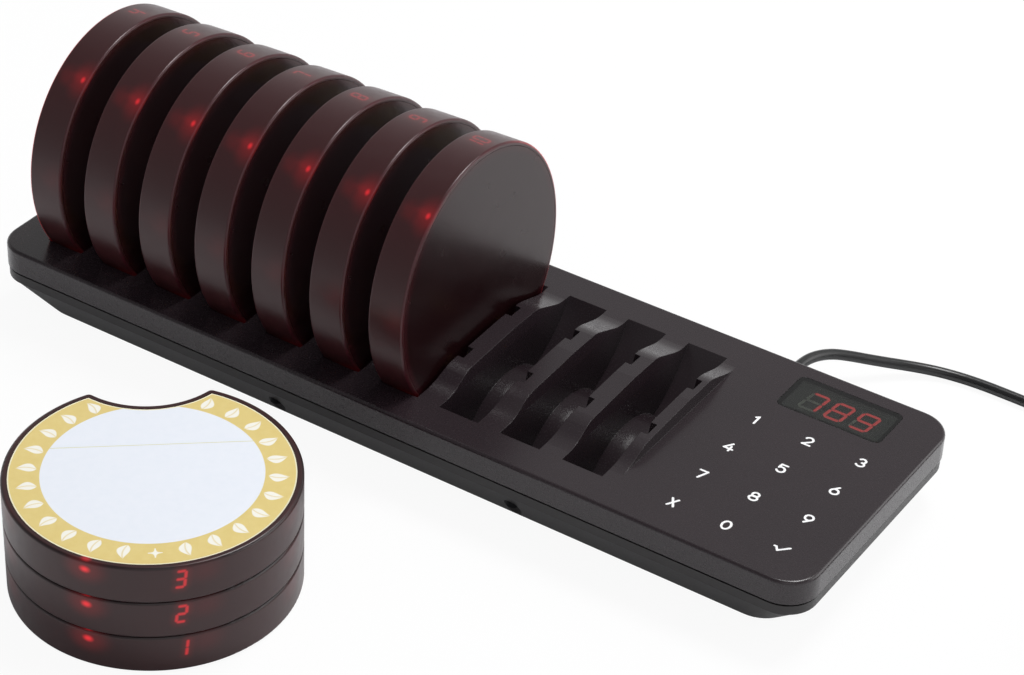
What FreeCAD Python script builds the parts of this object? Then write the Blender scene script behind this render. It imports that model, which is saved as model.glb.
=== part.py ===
import FreeCAD, Part
import math
import os
import re
from FreeCAD import Placement, Rotation, Vector

# Guest pager system: a charging base with ten upright slots, a touch keypad and a display, and ten
# round coaster pagers, seven of them in the slots and three in a stack in front of the base.
#
# Millimetres. X runs along the base from slot 1 to the keypad, Y points to the back, Z is up and the
# table is z = 0. The origin is the middle of the whole set's footprint. Every piece of the base is
# built about the base's own middle, and its Placement moves it back to where the base stands.

SLOTS = 10
STACKED = (1, 2, 3)
SPARE_SLOTS = 3
DOCKED = tuple(range(len(STACKED) + 1, SLOTS + 1))

SIZES = {
    # the base's outer form
    "base_width": 109.4,
    "base_corner": 12.0,
    "deck_height": 28.4,
    "deck_edge_round": 1.2,
    "deck_thickness": 2.0,
    "shell_wall": 2.0,
    "parting_height": 18.4,
    "parting_gap": 0.9,
    "band_height": 3.5,
    "band_inset": 0.4,
    "hull_step": 0.3,
    "hull_inset_x": 12.0,
    "hull_inset_y": 9.5,
    "floor_height": 1.2,
    "floor_thickness": 2.0,
    "lip_depth": 1.5,
    "lip_wall": 1.2,
    "lip_root": 1.5,
    "fit_gap": 0.15,
    # the pagers
    "pager_radius": 48.5,
    "pager_thickness": 14.0,
    "pager_wall": 2.4,
    "pager_face": 1.8,
    "pager_edge_round": 1.0,
    "notch_radius": 28.5,
    "notch_offset": 64.6,
    "horn_round": 2.0,
    "lid_inset": 1.5,
    "lid_thickness": 1.6,
    "label_inset": 2.1,
    "label_recess": 0.4,
    "label_thickness": 0.25,
    "post_radius": 2.0,
    "post_ring": 37.0,
    "pager_board_inset": 6.5,
    "pager_board_base": 6.6,
    "pager_board_thickness": 1.2,
    "cell_length": 34.0,
    "cell_width": 26.0,
    "cell_shift": 9.0,
    "cell_gap": 0.4,
    "motor_radius": 5.0,
    "motor_height": 3.0,
    "motor_shift": 22.0,
    "digit_width": 9.0,
    "digit_depth": 2.2,
    "digit_height": 9.0,
    "digit_seat": 0.6,
    "lamp_size": 2.4,
    "lamp_height": 1.5,
    "lamp_ring": 39.0,
    "contact_pad_width": 5.0,
    "contact_pad_height": 6.0,
    "contact_pin_radius": 0.75,
    "contact_reach": 30.0,
    "contact_spacing": 30.0,
    # the slots and the ribs between them
    "slot_margin": 14.7,
    "slot_pitch": 24.6,
    "slot_width": 15.6,
    "keypad_length": 82.3,
    "dock_height": 25.8,
    "dock_lift": 0.2,
    "dock_gap": 0.2,
    "dock_lean": 2.0,
    "dock_clearance": 0.3,
    "well_wall": 1.8,
    "well_base": 7.6,
    "end_rib": 5.2,
    "rib_rise": 5.3,
    "rib_front_rise": 4.3,
    "rib_back_rise": 5.1,
    "rib_front_reach": 33.2,
    "rib_back_reach": 35.2,
    "rib_root": 12.0,
    "rib_crest": 6.0,
    "rib_front_shoulder": 23.0,
    "rib_back_shoulder": 21.0,
    "rib_foot_round": 18.0,
    "rib_shoulder_round": 14.0,
    "rib_taper": 0.85,
    "rib_core": 3.0,
    "rib_core_reach": 34.0,
    "rib_core_roof": 2.4,
    "groove_width": 6.4,
    "groove_depth": 3.1,
    # boards, keypad and display
    "board_base": 5.4,
    "board_thickness": 1.6,
    "board_gap": 0.6,
    "charge_board_width": 36.0,
    "charge_screw_inset": 12.5,
    "charge_screw_y": 10.0,
    "main_board_length": 56.5,
    "standoff_radius": 2.6,
    "connector_length": 13.0,
    "connector_width": 14.0,
    "connector_height": 5.0,
    "window_inset_x": 36.4,
    "window_inset_y": 16.5,
    "window_length": 39.5,
    "window_width": 19.5,
    "window_corner": 2.5,
    "window_thickness": 1.2,
    "window_ledge": 1.5,
    "display_height": 7.2,
    "display_margin": 0.5,
    "header_length": 15.0,
    "header_width": 2.5,
    "header_spacing": 7.0,
    "touch_board_length": 53.0,
    "touch_board_inset": 13.0,
    "touch_board_edge": 8.7,
    "touch_board_gap": 4.5,
    "touch_board_thickness": 1.5,
    "chip_size": 6.0,
    "chip_height": 1.5,
    "socket_length": 5.0,
    "socket_width": 14.0,
    "socket_height": 3.5,
    "ribbon_thickness": 0.8,
    "ribbon_width": 12.0,
    "buzzer_radius": 6.0,
    "buzzer_height": 8.5,
    "antenna_radius": 0.6,
    "antenna_mast_radius": 1.1,
    "antenna_height": 10.0,
    "antenna_length": 32.0,
    "spring_width": 4.0,
    "spring_strip": 0.3,
    "spring_touch_gap": 0.3,
    # fasteners and feet
    "screw_inset_x": 9.5,
    "screw_inset_y": 6.4,
    "end_screw_inset_y": 16.7,
    "inner_screw_x": 49.3,
    "inner_screw_shift": 6.1,
    "screw_radius": 1.5,
    "screw_length": 13.0,
    "screw_head_radius": 2.75,
    "screw_head_height": 2.0,
    "screw_head_base": 8.0,
    "screw_hole_gap": 0.05,
    "boss_radius": 3.2,
    "boss_joint": 14.2,
    "board_screw_radius": 1.0,
    "board_screw_head": 1.8,
    "foot_radius": 5.0,
    "foot_recess": 1.0,
    "foot_x": 142.0,
    "foot_inner_x": 49.0,
    "foot_y": 36.0,
    # power inlet, plug and lead
    "jack_shift": 33.3,
    "jack_height": 12.2,
    "jack_width": 9.0,
    "jack_length": 14.0,
    "jack_bore": 2.8,
    "jack_bore_depth": 9.5,
    "jack_nose_radius": 4.0,
    "shroud_wall": 1.8,
    "plug_radius": 4.3,
    "plug_length": 10.0,
    "plug_barrel_radius": 2.75,
    "plug_barrel_length": 9.0,
    "boot_length": 5.0,
    "boot_end_radius": 2.5,
    "cord_radius": 2.0,
    "coil_ring": 22.0,
    "coil_half_width": 6.0,
    "coil_thickness": 11.0,
    "coil_reach": 142.7,
    "tie_width": 10.0,
    "tie_thickness": 1.2,
    "tie_bulge": 0.8,
    "tie_round": 2.8,
    "adapter_length": 62.0,
    "adapter_width": 42.0,
    "adapter_height": 28.0,
    "adapter_round": 4.0,
    "adapter_boot_length": 10.0,
    "adapter_boot_radius": 3.6,
    "adapter_lead_height": 5.5,
    "adapter_lead_run": 18.0,
    "pin_radius": 2.0,
    "pin_length": 19.0,
    "pin_spacing": 19.0,
    # where the stack stands, from the base's middle
    "stack_x": -24.2,
    "stack_front": 140.2,
    "stack_turn": 39.8,
}

# Sizes that follow from the others, as the sheet's own formulas
FOLLOWING = {
    "base_length": "slot_margin + %d * slot_pitch + slot_width + keypad_length" % (SLOTS - 1),
    "first_slot": "slot_margin - base_length / 2",
    "window_x": "base_length / 2 - window_inset_x",
    "window_y": "base_width / 2 - window_inset_y",
    "jack_x": "window_x - jack_shift",
    "coil_x": "jack_x + coil_reach",
    "charge_board_start": "hull_inset_x + shell_wall + board_gap - base_length / 2",
    "charge_board_end": "first_slot + %d * slot_pitch + slot_width + end_rib" % (SLOTS - 1),
    "main_board_start": "charge_board_end + board_gap",
    "main_board_width": "base_width - 2 * (hull_inset_y + shell_wall + board_gap)",
    "touch_board_end": "base_length / 2 - touch_board_inset",
    "touch_board_front": "touch_board_edge - base_width / 2",
    "touch_board_back": "window_y - window_width / 2 - touch_board_gap",
}

# Middle line of the lead's free stretch, from the end of its boot to the coil: the points are given
# from the jack's middle line, the back of the boot and the table.
CORD_ROUTE = [
    (0.0, 6.5, 12.2),
    (1.9, 13.1, 12.0),
    (5.5, 19.0, 11.1),
    (10.5, 23.9, 9.4),
    (15.9, 28.5, 7.5),
    (21.5, 33.4, 5.6),
    (27.7, 38.4, 3.9),
    (35.2, 42.8, 2.6),
    (43.7, 45.3, 2.0),
    (53.2, 46.1, 2.0),
    (63.7, 46.0, 2.0),
    (74.7, 45.8, 2.0),
    (85.7, 45.5, 2.0),
    (97.7, 45.6, 2.0),
]
LAMP_ANGLE = 238.0
NUMBER_ANGLE = 279.0
LAMP_STEPS = (0, 1, 2, 3, 4, 6)
POST_ANGLES = (35.0, 170.0, 215.0, 300.0)

# Where the main board's screws and parts stand, as shares of its length and of half its width
MAIN_SCREWS = ((0.24, -0.88), (0.87, -0.88), (0.24, 0.61), (0.87, 0.61))
BUZZER_SPOT = (0.38, -0.6)
ANTENNA_SPOT = (0.94, 0.53)
SENSOR_CHIP_SPOT = (0.48, 0.0)

# The keypad's ribbon, which stands between the sensor board and the main board
RIBBON_SPOT = (0.76, -0.33)

# Parts on the main board: length, width and height in chip sizes, and the middle's place
MAIN_PARTS = {
    "controller": (2.0, 2.0, 0.27, 0.52, -0.19),
    "radio_module": (2.7, 3.3, 0.47, 0.84, 0.19),
    "regulator": (1.3, 1.7, 0.75, 0.21, 0.33),
    "clock_crystal": (0.7, 1.8, 0.57, 0.31, -0.19),
}

# Expressions shared by several pieces
BASE_Y = "(stack_front + pager_radius - base_width / 2) / 2"
DOCK_Z = "(deck_height + dock_height)"
HUMP_Z = "(deck_height + dock_height - notch_offset)"
PAGER_Z = "(deck_height + dock_height + dock_lift)"
LID_AT_DECK = "(dock_gap + pager_thickness / cos(dock_lean))"
CONTACT_Z = "(deck_height + dock_height + dock_lift - contact_reach * cos(dock_lean))"
TOP_BASE = "(parting_height + parting_gap)"
BOARD_TOP = "(board_base + board_thickness)"
LAST_SLOT_END = "(first_slot + %d * slot_pitch + slot_width)" % (SLOTS - 1)
INNER_FLOOR = "(floor_height + floor_thickness)"
BACK_WALL = "(base_width / 2 - band_inset)"
BOARD_UNDER_LID = "(pager_board_base - lid_thickness)"

doc = FreeCAD.newDocument("guest_pager_system")
sheet = doc.addObject("Spreadsheet::Sheet", "Sizes")
cells = dict(SIZES)
cells.update({alias: "=" + formula for alias, formula in FOLLOWING.items()})
for row, (alias, value) in enumerate(cells.items(), start=1):
    sheet.set("A%d" % row, alias)
    sheet.setAlias("B%d" % row, alias)
for row, value in enumerate(cells.values(), start=1):
    sheet.set("B%d" % row, str(value))
doc.recompute()


def size(alias):
    """The value that a cell of the sheet holds."""
    return float(getattr(sheet, alias))


def bind(thing, **expressions):
    """Bind properties to expressions of the sheet's names; x, y and z mean the place."""
    for name, text in expressions.items():
        if name in ("x", "y", "z"):
            name = "Placement.Base." + name
        linked = re.sub(r"[a-z][a-z0-9_]*", lambda found: (
            "Sizes." + found.group() if found.group() in cells else found.group()), str(text))
        thing.setExpression(name.replace("__", "."), linked)
    return thing


def slot_start(n):
    """Left wall of slot n, counted from 0."""
    return "(first_slot + %d * slot_pitch)" % n


def on_main_board(share_x, share_y):
    """A spot on the main board, from its shares of the length and of half the width."""
    return ["(main_board_start + %g * main_board_length)" % share_x,
            "(%g * main_board_width / 2)" % share_y]


# ---------------------------------------------------------------------------------------------
# Building blocks

AXIS_TURN = {
    "x": Rotation(Vector(0, 1, 0), 90),
    "y": Rotation(Vector(1, 0, 0), -90),
    "z": Rotation(),
}


def block(name, span_x, span_y, span_z):
    """A box between two expressions on each axis."""
    thing = doc.addObject("Part::Box", name)
    return bind(
        thing,
        x=span_x[0],
        y=span_y[0],
        z=span_z[0],
        Length="(%s) - (%s)" % (span_x[1], span_x[0]),
        Width="(%s) - (%s)" % (span_y[1], span_y[0]),
        Height="(%s) - (%s)" % (span_z[1], span_z[0]),
    )


def middle_block(name, length, width, height, x, y, z):
    """A box by its size, with the middle of its underside at x, y, z."""
    thing = doc.addObject("Part::Box", name)
    bind(thing, Length=length, Width=width, Height=height, z=z)
    return bind(thing, x="(%s) - (%s) / 2" % (x, length), y="(%s) - (%s) / 2" % (y, width))


def rod(name, radius, length, x, y, z, axis="z"):
    """A cylinder that starts at x, y, z and runs along one axis."""
    thing = doc.addObject("Part::Cylinder", name)
    thing.Placement = Placement(Vector(), AXIS_TURN[axis])
    return bind(thing, Radius=radius, Height=length, x=x, y=y, z=z)


def taper(name, radius, end_radius, length, x, y, z, axis="z"):
    """A cone that starts at x, y, z and runs along one axis."""
    thing = doc.addObject("Part::Cone", name)
    thing.Placement = Placement(Vector(), AXIS_TURN[axis])
    return bind(thing, Radius1=radius, Radius2=end_radius, Height=length, x=x, y=y, z=z)


def cut(name, base, *tools):
    """The base less all the tools."""
    thing = doc.addObject("Part::Cut", name)
    thing.Base = base
    thing.Tool = tools[0] if len(tools) == 1 else join(name + "_tools", *tools)
    return thing


def join(name, *items):
    """One shape of several that meet or overlap."""
    thing = doc.addObject("Part::MultiFuse", name)
    thing.Shapes = list(items)
    return thing


def overlap(name, *items):
    """What several shapes have in common."""
    thing = doc.addObject("Part::MultiCommon", name)
    thing.Shapes = list(items)
    return thing


def group(name, *items):
    """Separate solids that make up one sub-part."""
    thing = doc.addObject("Part::Compound", name)
    thing.Links = list(items)
    return thing


def copy_at(name, master, turn=None, **place):
    """The master once more, turned and then moved."""
    thing = group(name, master)
    thing.Placement = Placement(Vector(), turn or Rotation())
    return bind(thing, **place)


def rounded(name, thing, radius, chosen):
    """Round the edges that the test picks."""
    doc.recompute()
    picked = [n for n, edge in enumerate(thing.Shape.Edges, start=1) if chosen(edge)]
    result = doc.addObject("Part::Fillet", name)
    result.Base = thing
    result.Edges = [(n, radius, radius) for n in picked]
    return result


def upright(edge):
    """True for a straight edge along Z."""
    ends = [vertex.Point for vertex in edge.Vertexes]
    return len(ends) == 2 and (ends[0] - ends[1]).cross(Vector(0, 0, 1)).Length < 1e-6


def level_at(height):
    """A test for edges that lie in one level."""
    return lambda edge: abs(edge.BoundBox.ZMin - height) < 1e-6 and abs(edge.BoundBox.ZMax - height) < 1e-6


def origin_plane(body, role):
    """One of a body's own base planes."""
    return next(plane for plane in body.Origin.OriginFeatures if plane.Role == role)


def new_sketch(body, name, role, height):
    """A sketch on a base plane of its body, raised by an expression."""
    sketch = body.newObject("Sketcher::SketchObject", name)
    sketch.AttachmentSupport = [(origin_plane(body, role), "")]
    sketch.MapMode = "FlatFace"
    bind(sketch, AttachmentOffset__Base__z=height)
    return sketch


def rounded_rectangle(body, name, length, width, radius, height):
    """A level rectangle about the middle, with its corners rounded."""
    import Sketcher
    sketch = new_sketch(body, name, "XY_Plane", height)
    half_x, half_y, corner = 100.0, 50.0, 10.0
    left, right = -half_x + corner, half_x - corner
    front, back = -half_y + corner, half_y - corner
    quarter = math.pi / 2
    runs = [
        ((left, -half_y), (right, -half_y), (right, front), -quarter),
        ((half_x, front), (half_x, back), (right, back), 0.0),
        ((right, half_y), (left, half_y), (left, back), quarter),
        ((-half_x, back), (-half_x, front), (left, front), 2 * quarter),
    ]
    for start, end, centre, angle in runs:
        sketch.addGeometry(Part.LineSegment(Vector(*start, 0), Vector(*end, 0)), False)
        circle = Part.Circle(Vector(*centre, 0), Vector(0, 0, 1), corner)
        sketch.addGeometry(Part.ArcOfCircle(circle, angle, angle + quarter), False)
    count = 2 * len(runs)
    rules = [Sketcher.Constraint("Tangent", n, 2, (n + 1) % count, 1) for n in range(count)]
    rules += [Sketcher.Constraint("Horizontal", n) for n in (0, 4)]
    rules += [Sketcher.Constraint("Vertical", n) for n in (2, 6)]
    rules += [Sketcher.Constraint("Equal", 1, n) for n in (3, 5, 7)]
    rules.append(Sketcher.Constraint("Symmetric", 1, 3, 5, 3, -1, 1))
    sketch.addConstraint(rules)
    driven = {
        "length": (Sketcher.Constraint("DistanceX", 6, 1, 2, 1, 2 * half_x), length),
        "width": (Sketcher.Constraint("DistanceY", 0, 1, 4, 1, 2 * half_y), width),
        "corner": (Sketcher.Constraint("Radius", 1, corner), radius),
    }
    for word, (rule, text) in driven.items():
        number = sketch.addConstraint(rule)
        sketch.renameConstraint(number, word)
        bind(sketch, **{"Constraints." + word: text})
    return sketch


def polygon(body, name, role, height, points):
    """A closed outline through points whose coordinates are expressions."""
    import Sketcher
    sketch = new_sketch(body, name, role, height)
    count = len(points)
    for n in range(count):
        turn = 2 * math.pi * n / count
        after = 2 * math.pi * (n + 1) / count
        start = Vector(10 * math.cos(turn), 10 * math.sin(turn), 0)
        end = Vector(10 * math.cos(after), 10 * math.sin(after), 0)
        sketch.addGeometry(Part.LineSegment(start, end), False)
    for n in range(count):
        sketch.addConstraint(Sketcher.Constraint("Coincident", n, 2, (n + 1) % count, 1))
    for n, place in enumerate(points):
        for kind, text in zip(("DistanceX", "DistanceY"), place):
            number = sketch.addConstraint(Sketcher.Constraint(kind, -1, 1, n, 1, 10.0))
            word = "%s%d" % (kind[-1], n)
            sketch.renameConstraint(number, word)
            bind(sketch, **{"Constraints." + word: text})
    return sketch


def plate(name, length, width, radius, low, high):
    """A rounded rectangle between two levels, about the middle."""
    body = doc.addObject("PartDesign::Body", name)
    sketch = rounded_rectangle(body, name + "_outline", length, width, radius, low)
    pad = body.newObject("PartDesign::Pad", name + "_pad")
    pad.Profile = sketch
    bind(pad, Length="(%s) - (%s)" % (high, low))
    return body


def hull(name, low, high):
    """A solid between two rounded rectangles, each as length, width, radius and height."""
    body = doc.addObject("PartDesign::Body", name)
    sketches = [rounded_rectangle(body, "%s_%s" % (name, word), *form)
                for word, form in (("low", low), ("high", high))]
    loft = body.newObject("PartDesign::AdditiveLoft", name + "_loft")
    loft.Profile = sketches[0]
    loft.Sections = [sketches[1]]
    loft.Ruled = True
    return body


# ---------------------------------------------------------------------------------------------
# Pagers. Each is built flat on the table with its face up and its notch towards +Y.


def notched(name, inset, low, high):
    """The pager's outline, drawn in by an inset, between two levels."""
    length = "(%s) - (%s)" % (high, low)
    disc = rod(name + "_disc", "pager_radius - (%s)" % inset, length, 0, 0, low)
    notch = rod(name + "_notch", "notch_radius + (%s)" % inset, length, 0, "notch_offset", low)
    return cut(name, disc, notch)


def make_pager_case():
    """A cup with a thick face, a raised rim round the label and posts for the board."""
    outline = notched("case_outline", 0, 0, "pager_thickness")
    horned = rounded("case_horned", outline, size("horn_round"), upright)
    doc.recompute()
    thick = size("pager_thickness")
    edge_round = size("pager_edge_round")
    body = rounded("case_body", horned, edge_round,
                   lambda edge: level_at(0.0)(edge) or level_at(thick)(edge))
    hollow = notched("case_hollow", "pager_wall", "lid_thickness", "pager_thickness - pager_face")
    seat = notched("case_lid_seat", "lid_inset", -1, "lid_thickness")
    recess = notched("case_label_recess", "label_inset", "pager_thickness - label_recess",
                     "pager_thickness + 1")
    cup = cut("case_cup", body, hollow, seat, recess)
    board_top = "(pager_board_base + pager_board_thickness)"
    posts = [rod("case_post_%d" % n, "post_radius", "pager_thickness - pager_face - " + board_top,
                 "post_ring * cos(%g)" % angle, "post_ring * sin(%g)" % angle, board_top)
             for n, angle in enumerate(POST_ANGLES, start=1)]
    return join("pager_case_master", cup, *posts)


def pad_spots():
    """Both charging pads: a name and the expressions of their middle."""
    return [("left", "0 - contact_spacing / 2"), ("right", "contact_spacing / 2")]


def make_pager_lid():
    """The flat back, with a window for each charging pad."""
    plain = notched("lid_plain", "lid_inset + fit_gap", 0, "lid_thickness")
    windows = [middle_block("lid_window_" + side, "contact_pad_width + 2 * fit_gap",
                            "contact_pad_height + 2 * fit_gap", "lid_thickness + 2", x,
                            "contact_reach", -1)
               for side, x in pad_spots()]
    return cut("pager_lid_master", plain, *windows)


def make_pager_label():
    """The printed disc in its recess."""
    low = "pager_thickness - label_recess"
    return notched("pager_label_master", "label_inset + fit_gap", low, low + " + label_thickness")


def make_pager_module():
    """Board, cell, vibration motor, side number, lamps and charging pads."""
    board_top = "(pager_board_base + pager_board_thickness)"
    board = notched("pager_board", "pager_board_inset", "pager_board_base", board_top)
    cell = middle_block("pager_cell", "cell_length", "cell_width", BOARD_UNDER_LID + " - cell_gap",
                        0, "0 - cell_shift", "lid_thickness + cell_gap")
    motor = rod("pager_motor", "motor_radius", "motor_height", 0, "0 - motor_shift", board_top)
    number = doc.addObject("Part::Box", "pager_number_block")
    number.Placement = Placement(Vector(), Rotation(Vector(0, 0, 1), NUMBER_ANGLE))
    inner = "(pager_radius - pager_board_inset - digit_seat)"
    turn = (NUMBER_ANGLE, NUMBER_ANGLE)
    bind(number, Length="digit_depth", Width="digit_width", Height="digit_height",
         x=inner + " * cos(%g) + digit_width / 2 * sin(%g)" % turn,
         y=inner + " * sin(%g) - digit_width / 2 * cos(%g)" % turn,
         z="(pager_thickness - digit_height) / 2")
    lamps = []
    for n, step in enumerate(LAMP_STEPS, start=1):
        angle = LAMP_ANGLE + 45.0 * step
        lamps.append(middle_block("pager_lamp_%d" % n, "lamp_size", "lamp_size", "lamp_height",
                                  "lamp_ring * cos(%g)" % angle, "lamp_ring * sin(%g)" % angle, board_top))
    pads = []
    for side, x in pad_spots():
        pad = middle_block("pager_pad_" + side, "contact_pad_width", "contact_pad_height",
                           "lid_thickness", x, "contact_reach", 0)
        pin = rod("pager_pin_" + side, "contact_pin_radius", BOARD_UNDER_LID, x, "contact_reach",
                  "lid_thickness")
        pads.append(join("pager_contact_" + side, pad, pin))
    panel = join("pager_panel", board, number)
    return group("pager_module_master", panel, cell, motor, *lamps, *pads)


def place_pagers():
    """Ten pagers of four pieces each: the first three in the stack, the rest in the slots."""
    masters = {
        "case": make_pager_case(),
        "lid": make_pager_lid(),
        "label": make_pager_label(),
        "module": make_pager_module(),
    }
    for number in STACKED:
        turn = Rotation(Vector(0, 0, 1), size("stack_turn"))
        for word, master in masters.items():
            copy_at("pager_%d_%s" % (number, word), master, turn, x="stack_x",
                    y=BASE_Y + " - stack_front", z="%d * pager_thickness" % (number - 1))
    # Docked, a pager stands on edge with its notch down, and its face leans on its slot's left wall.
    on_edge = Rotation(Vector(0, 1, 0), Vector(0, 0, -1), Vector(-1, 0, 0), "ZXY")
    lean = Rotation(Vector(0, 1, 0), -size("dock_lean"))
    from_middle = "pager_thickness / 2 * cos(dock_lean)"
    for place, number in enumerate(DOCKED):
        middle = "%s + %s - pager_thickness / 2 / cos(dock_lean) - (%s - deck_height) * tan(dock_lean)" % (
            slot_start(place), LID_AT_DECK, PAGER_Z)
        for word, master in masters.items():
            copy_at("pager_%d_%s" % (number, word), master, lean.multiply(on_edge),
                    x="%s + %s" % (middle, from_middle), y=BASE_Y,
                    z=PAGER_Z + " + pager_thickness / 2 * sin(dock_lean)")
    return ["pager_%d_%s" % (number, word) for number in range(1, SLOTS + 1) for word in masters]


# ---------------------------------------------------------------------------------------------
# Top shell


def shell_screw_spots():
    """Where the case screws stand, as expressions."""
    rows = [("0", "(base_length / 2 - screw_inset_x)", "(base_width / 2 - end_screw_inset_y)"),
            ("inner_screw_shift", "inner_screw_x", "(base_width / 2 - screw_inset_y)")]
    return [("%s + %d * %s" % (middle_x, side_x, reach_x), "%d * %s" % (side_y, reach_y))
            for middle_x, reach_x, reach_y in rows for side_x in (-1, 1) for side_y in (-1, 1)]


def make_rib_hill():
    """The arched ridge over the slots, before the slots cut it into ribs."""
    body = doc.addObject("PartDesign::Body", "rib_hill")
    low = "deck_height - deck_thickness / 2"
    front, back = "(rib_front_reach + rib_root)", "(rib_back_reach + rib_root)"
    points = [
        ("0 - " + front, low),
        ("0 - " + front, "deck_height"),
        ("0 - rib_front_reach", "deck_height"),
        ("0 - rib_front_shoulder", "deck_height + rib_front_rise"),
        ("rib_crest", "deck_height + rib_rise"),
        ("rib_back_shoulder", "deck_height + rib_back_rise"),
        ("rib_back_reach", "deck_height"),
        (back, "deck_height"),
        (back, low),
    ]
    start = "(first_slot - end_rib)"
    sketch = polygon(body, "rib_hill_outline", "YZ_Plane", start, points)
    pad = body.newObject("PartDesign::Pad", "rib_hill_pad")
    pad.Profile = sketch
    bind(pad, Length="%s + end_rib - %s" % (LAST_SLOT_END, start))
    doc.recompute()
    tip = pad
    creases = [
        ("foot", "rib_foot_round", (-size("rib_front_reach"), size("rib_back_reach"))),
        ("shoulder", "rib_shoulder_round", (-size("rib_front_shoulder"), size("rib_back_shoulder"))),
    ]
    for word, radius, spots in creases:
        edges = ["Edge%d" % n for n, edge in enumerate(tip.Shape.Edges, start=1)
                 if edge.BoundBox.XLength > 1 and edge.BoundBox.ZMin > size("deck_height") - 0.01
                 and min(abs(edge.BoundBox.Center.y - spot) for spot in spots) < 0.01]
        smooth = body.newObject("PartDesign::Fillet", "rib_hill_" + word)
        smooth.Base = (tip, edges)
        bind(smooth, Radius=radius)
        body.Tip = smooth
        doc.recompute()
        tip = smooth
    return body


def make_slot_cutters():
    """What each slot takes away: the pager's own outline, a taper in the ribs, two grooves."""
    cutters = []
    over = "(deck_height + rib_rise + 1)"
    for n in range(SLOTS):
        left = slot_start(n)
        tag = "slot_%d_" % (n + 1)
        round_cut = rod(tag + "round", "pager_radius + dock_clearance", "slot_width", left, 0, DOCK_Z, "x")
        hump = rod(tag + "hump", "notch_radius - dock_clearance", "slot_width + 2", left + " - 1", 0,
                   HUMP_Z, "x")
        cutters.append(cut(tag + "well", round_cut, hump))
        mouth = doc.addObject("Part::Wedge", tag + "mouth")
        mouth.Placement = Placement(Vector(), Rotation(Vector(1, 0, 0), 90))
        spread = "rib_taper * (rib_rise + 1) / rib_rise"
        run = "rib_front_reach + rib_back_reach + 2 * rib_root"
        bind(mouth, x=left, y="rib_back_reach + rib_root", z="deck_height",
             Ymax="rib_rise + 1", Zmax=run, Z2max=run, Xmax="slot_width",
             X2min="0 - " + spread, X2max="slot_width + " + spread)
        mouth.Xmin = mouth.Ymin = mouth.Zmin = mouth.Z2min = 0
        cutters.append(mouth)
        for side in (-1, 1):
            middle = "(%d * contact_spacing / 2)" % side
            wall = "(%s + slot_width)" % left
            cutters.append(block(tag + ("front" if side < 0 else "back") + "_groove",
                                 (wall + " - 1", wall + " + groove_depth"),
                                 (middle + " - groove_width / 2", middle + " + groove_width / 2"),
                                 ("well_base - 1", over)))
    return cutters


def make_rib_cores():
    """The hollow that is moulded up into each rib between two slots."""
    cores = []
    for n in range(SLOTS - 1):
        right = "(%s - well_wall)" % slot_start(n + 1)
        cores.append(block("rib_core_%d" % (n + 1), (right + " - rib_core", right),
                           ("0 - rib_core_reach", "rib_core_reach"),
                           ("well_base - 1", "deck_height - rib_core_roof")))
    return cores


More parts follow.
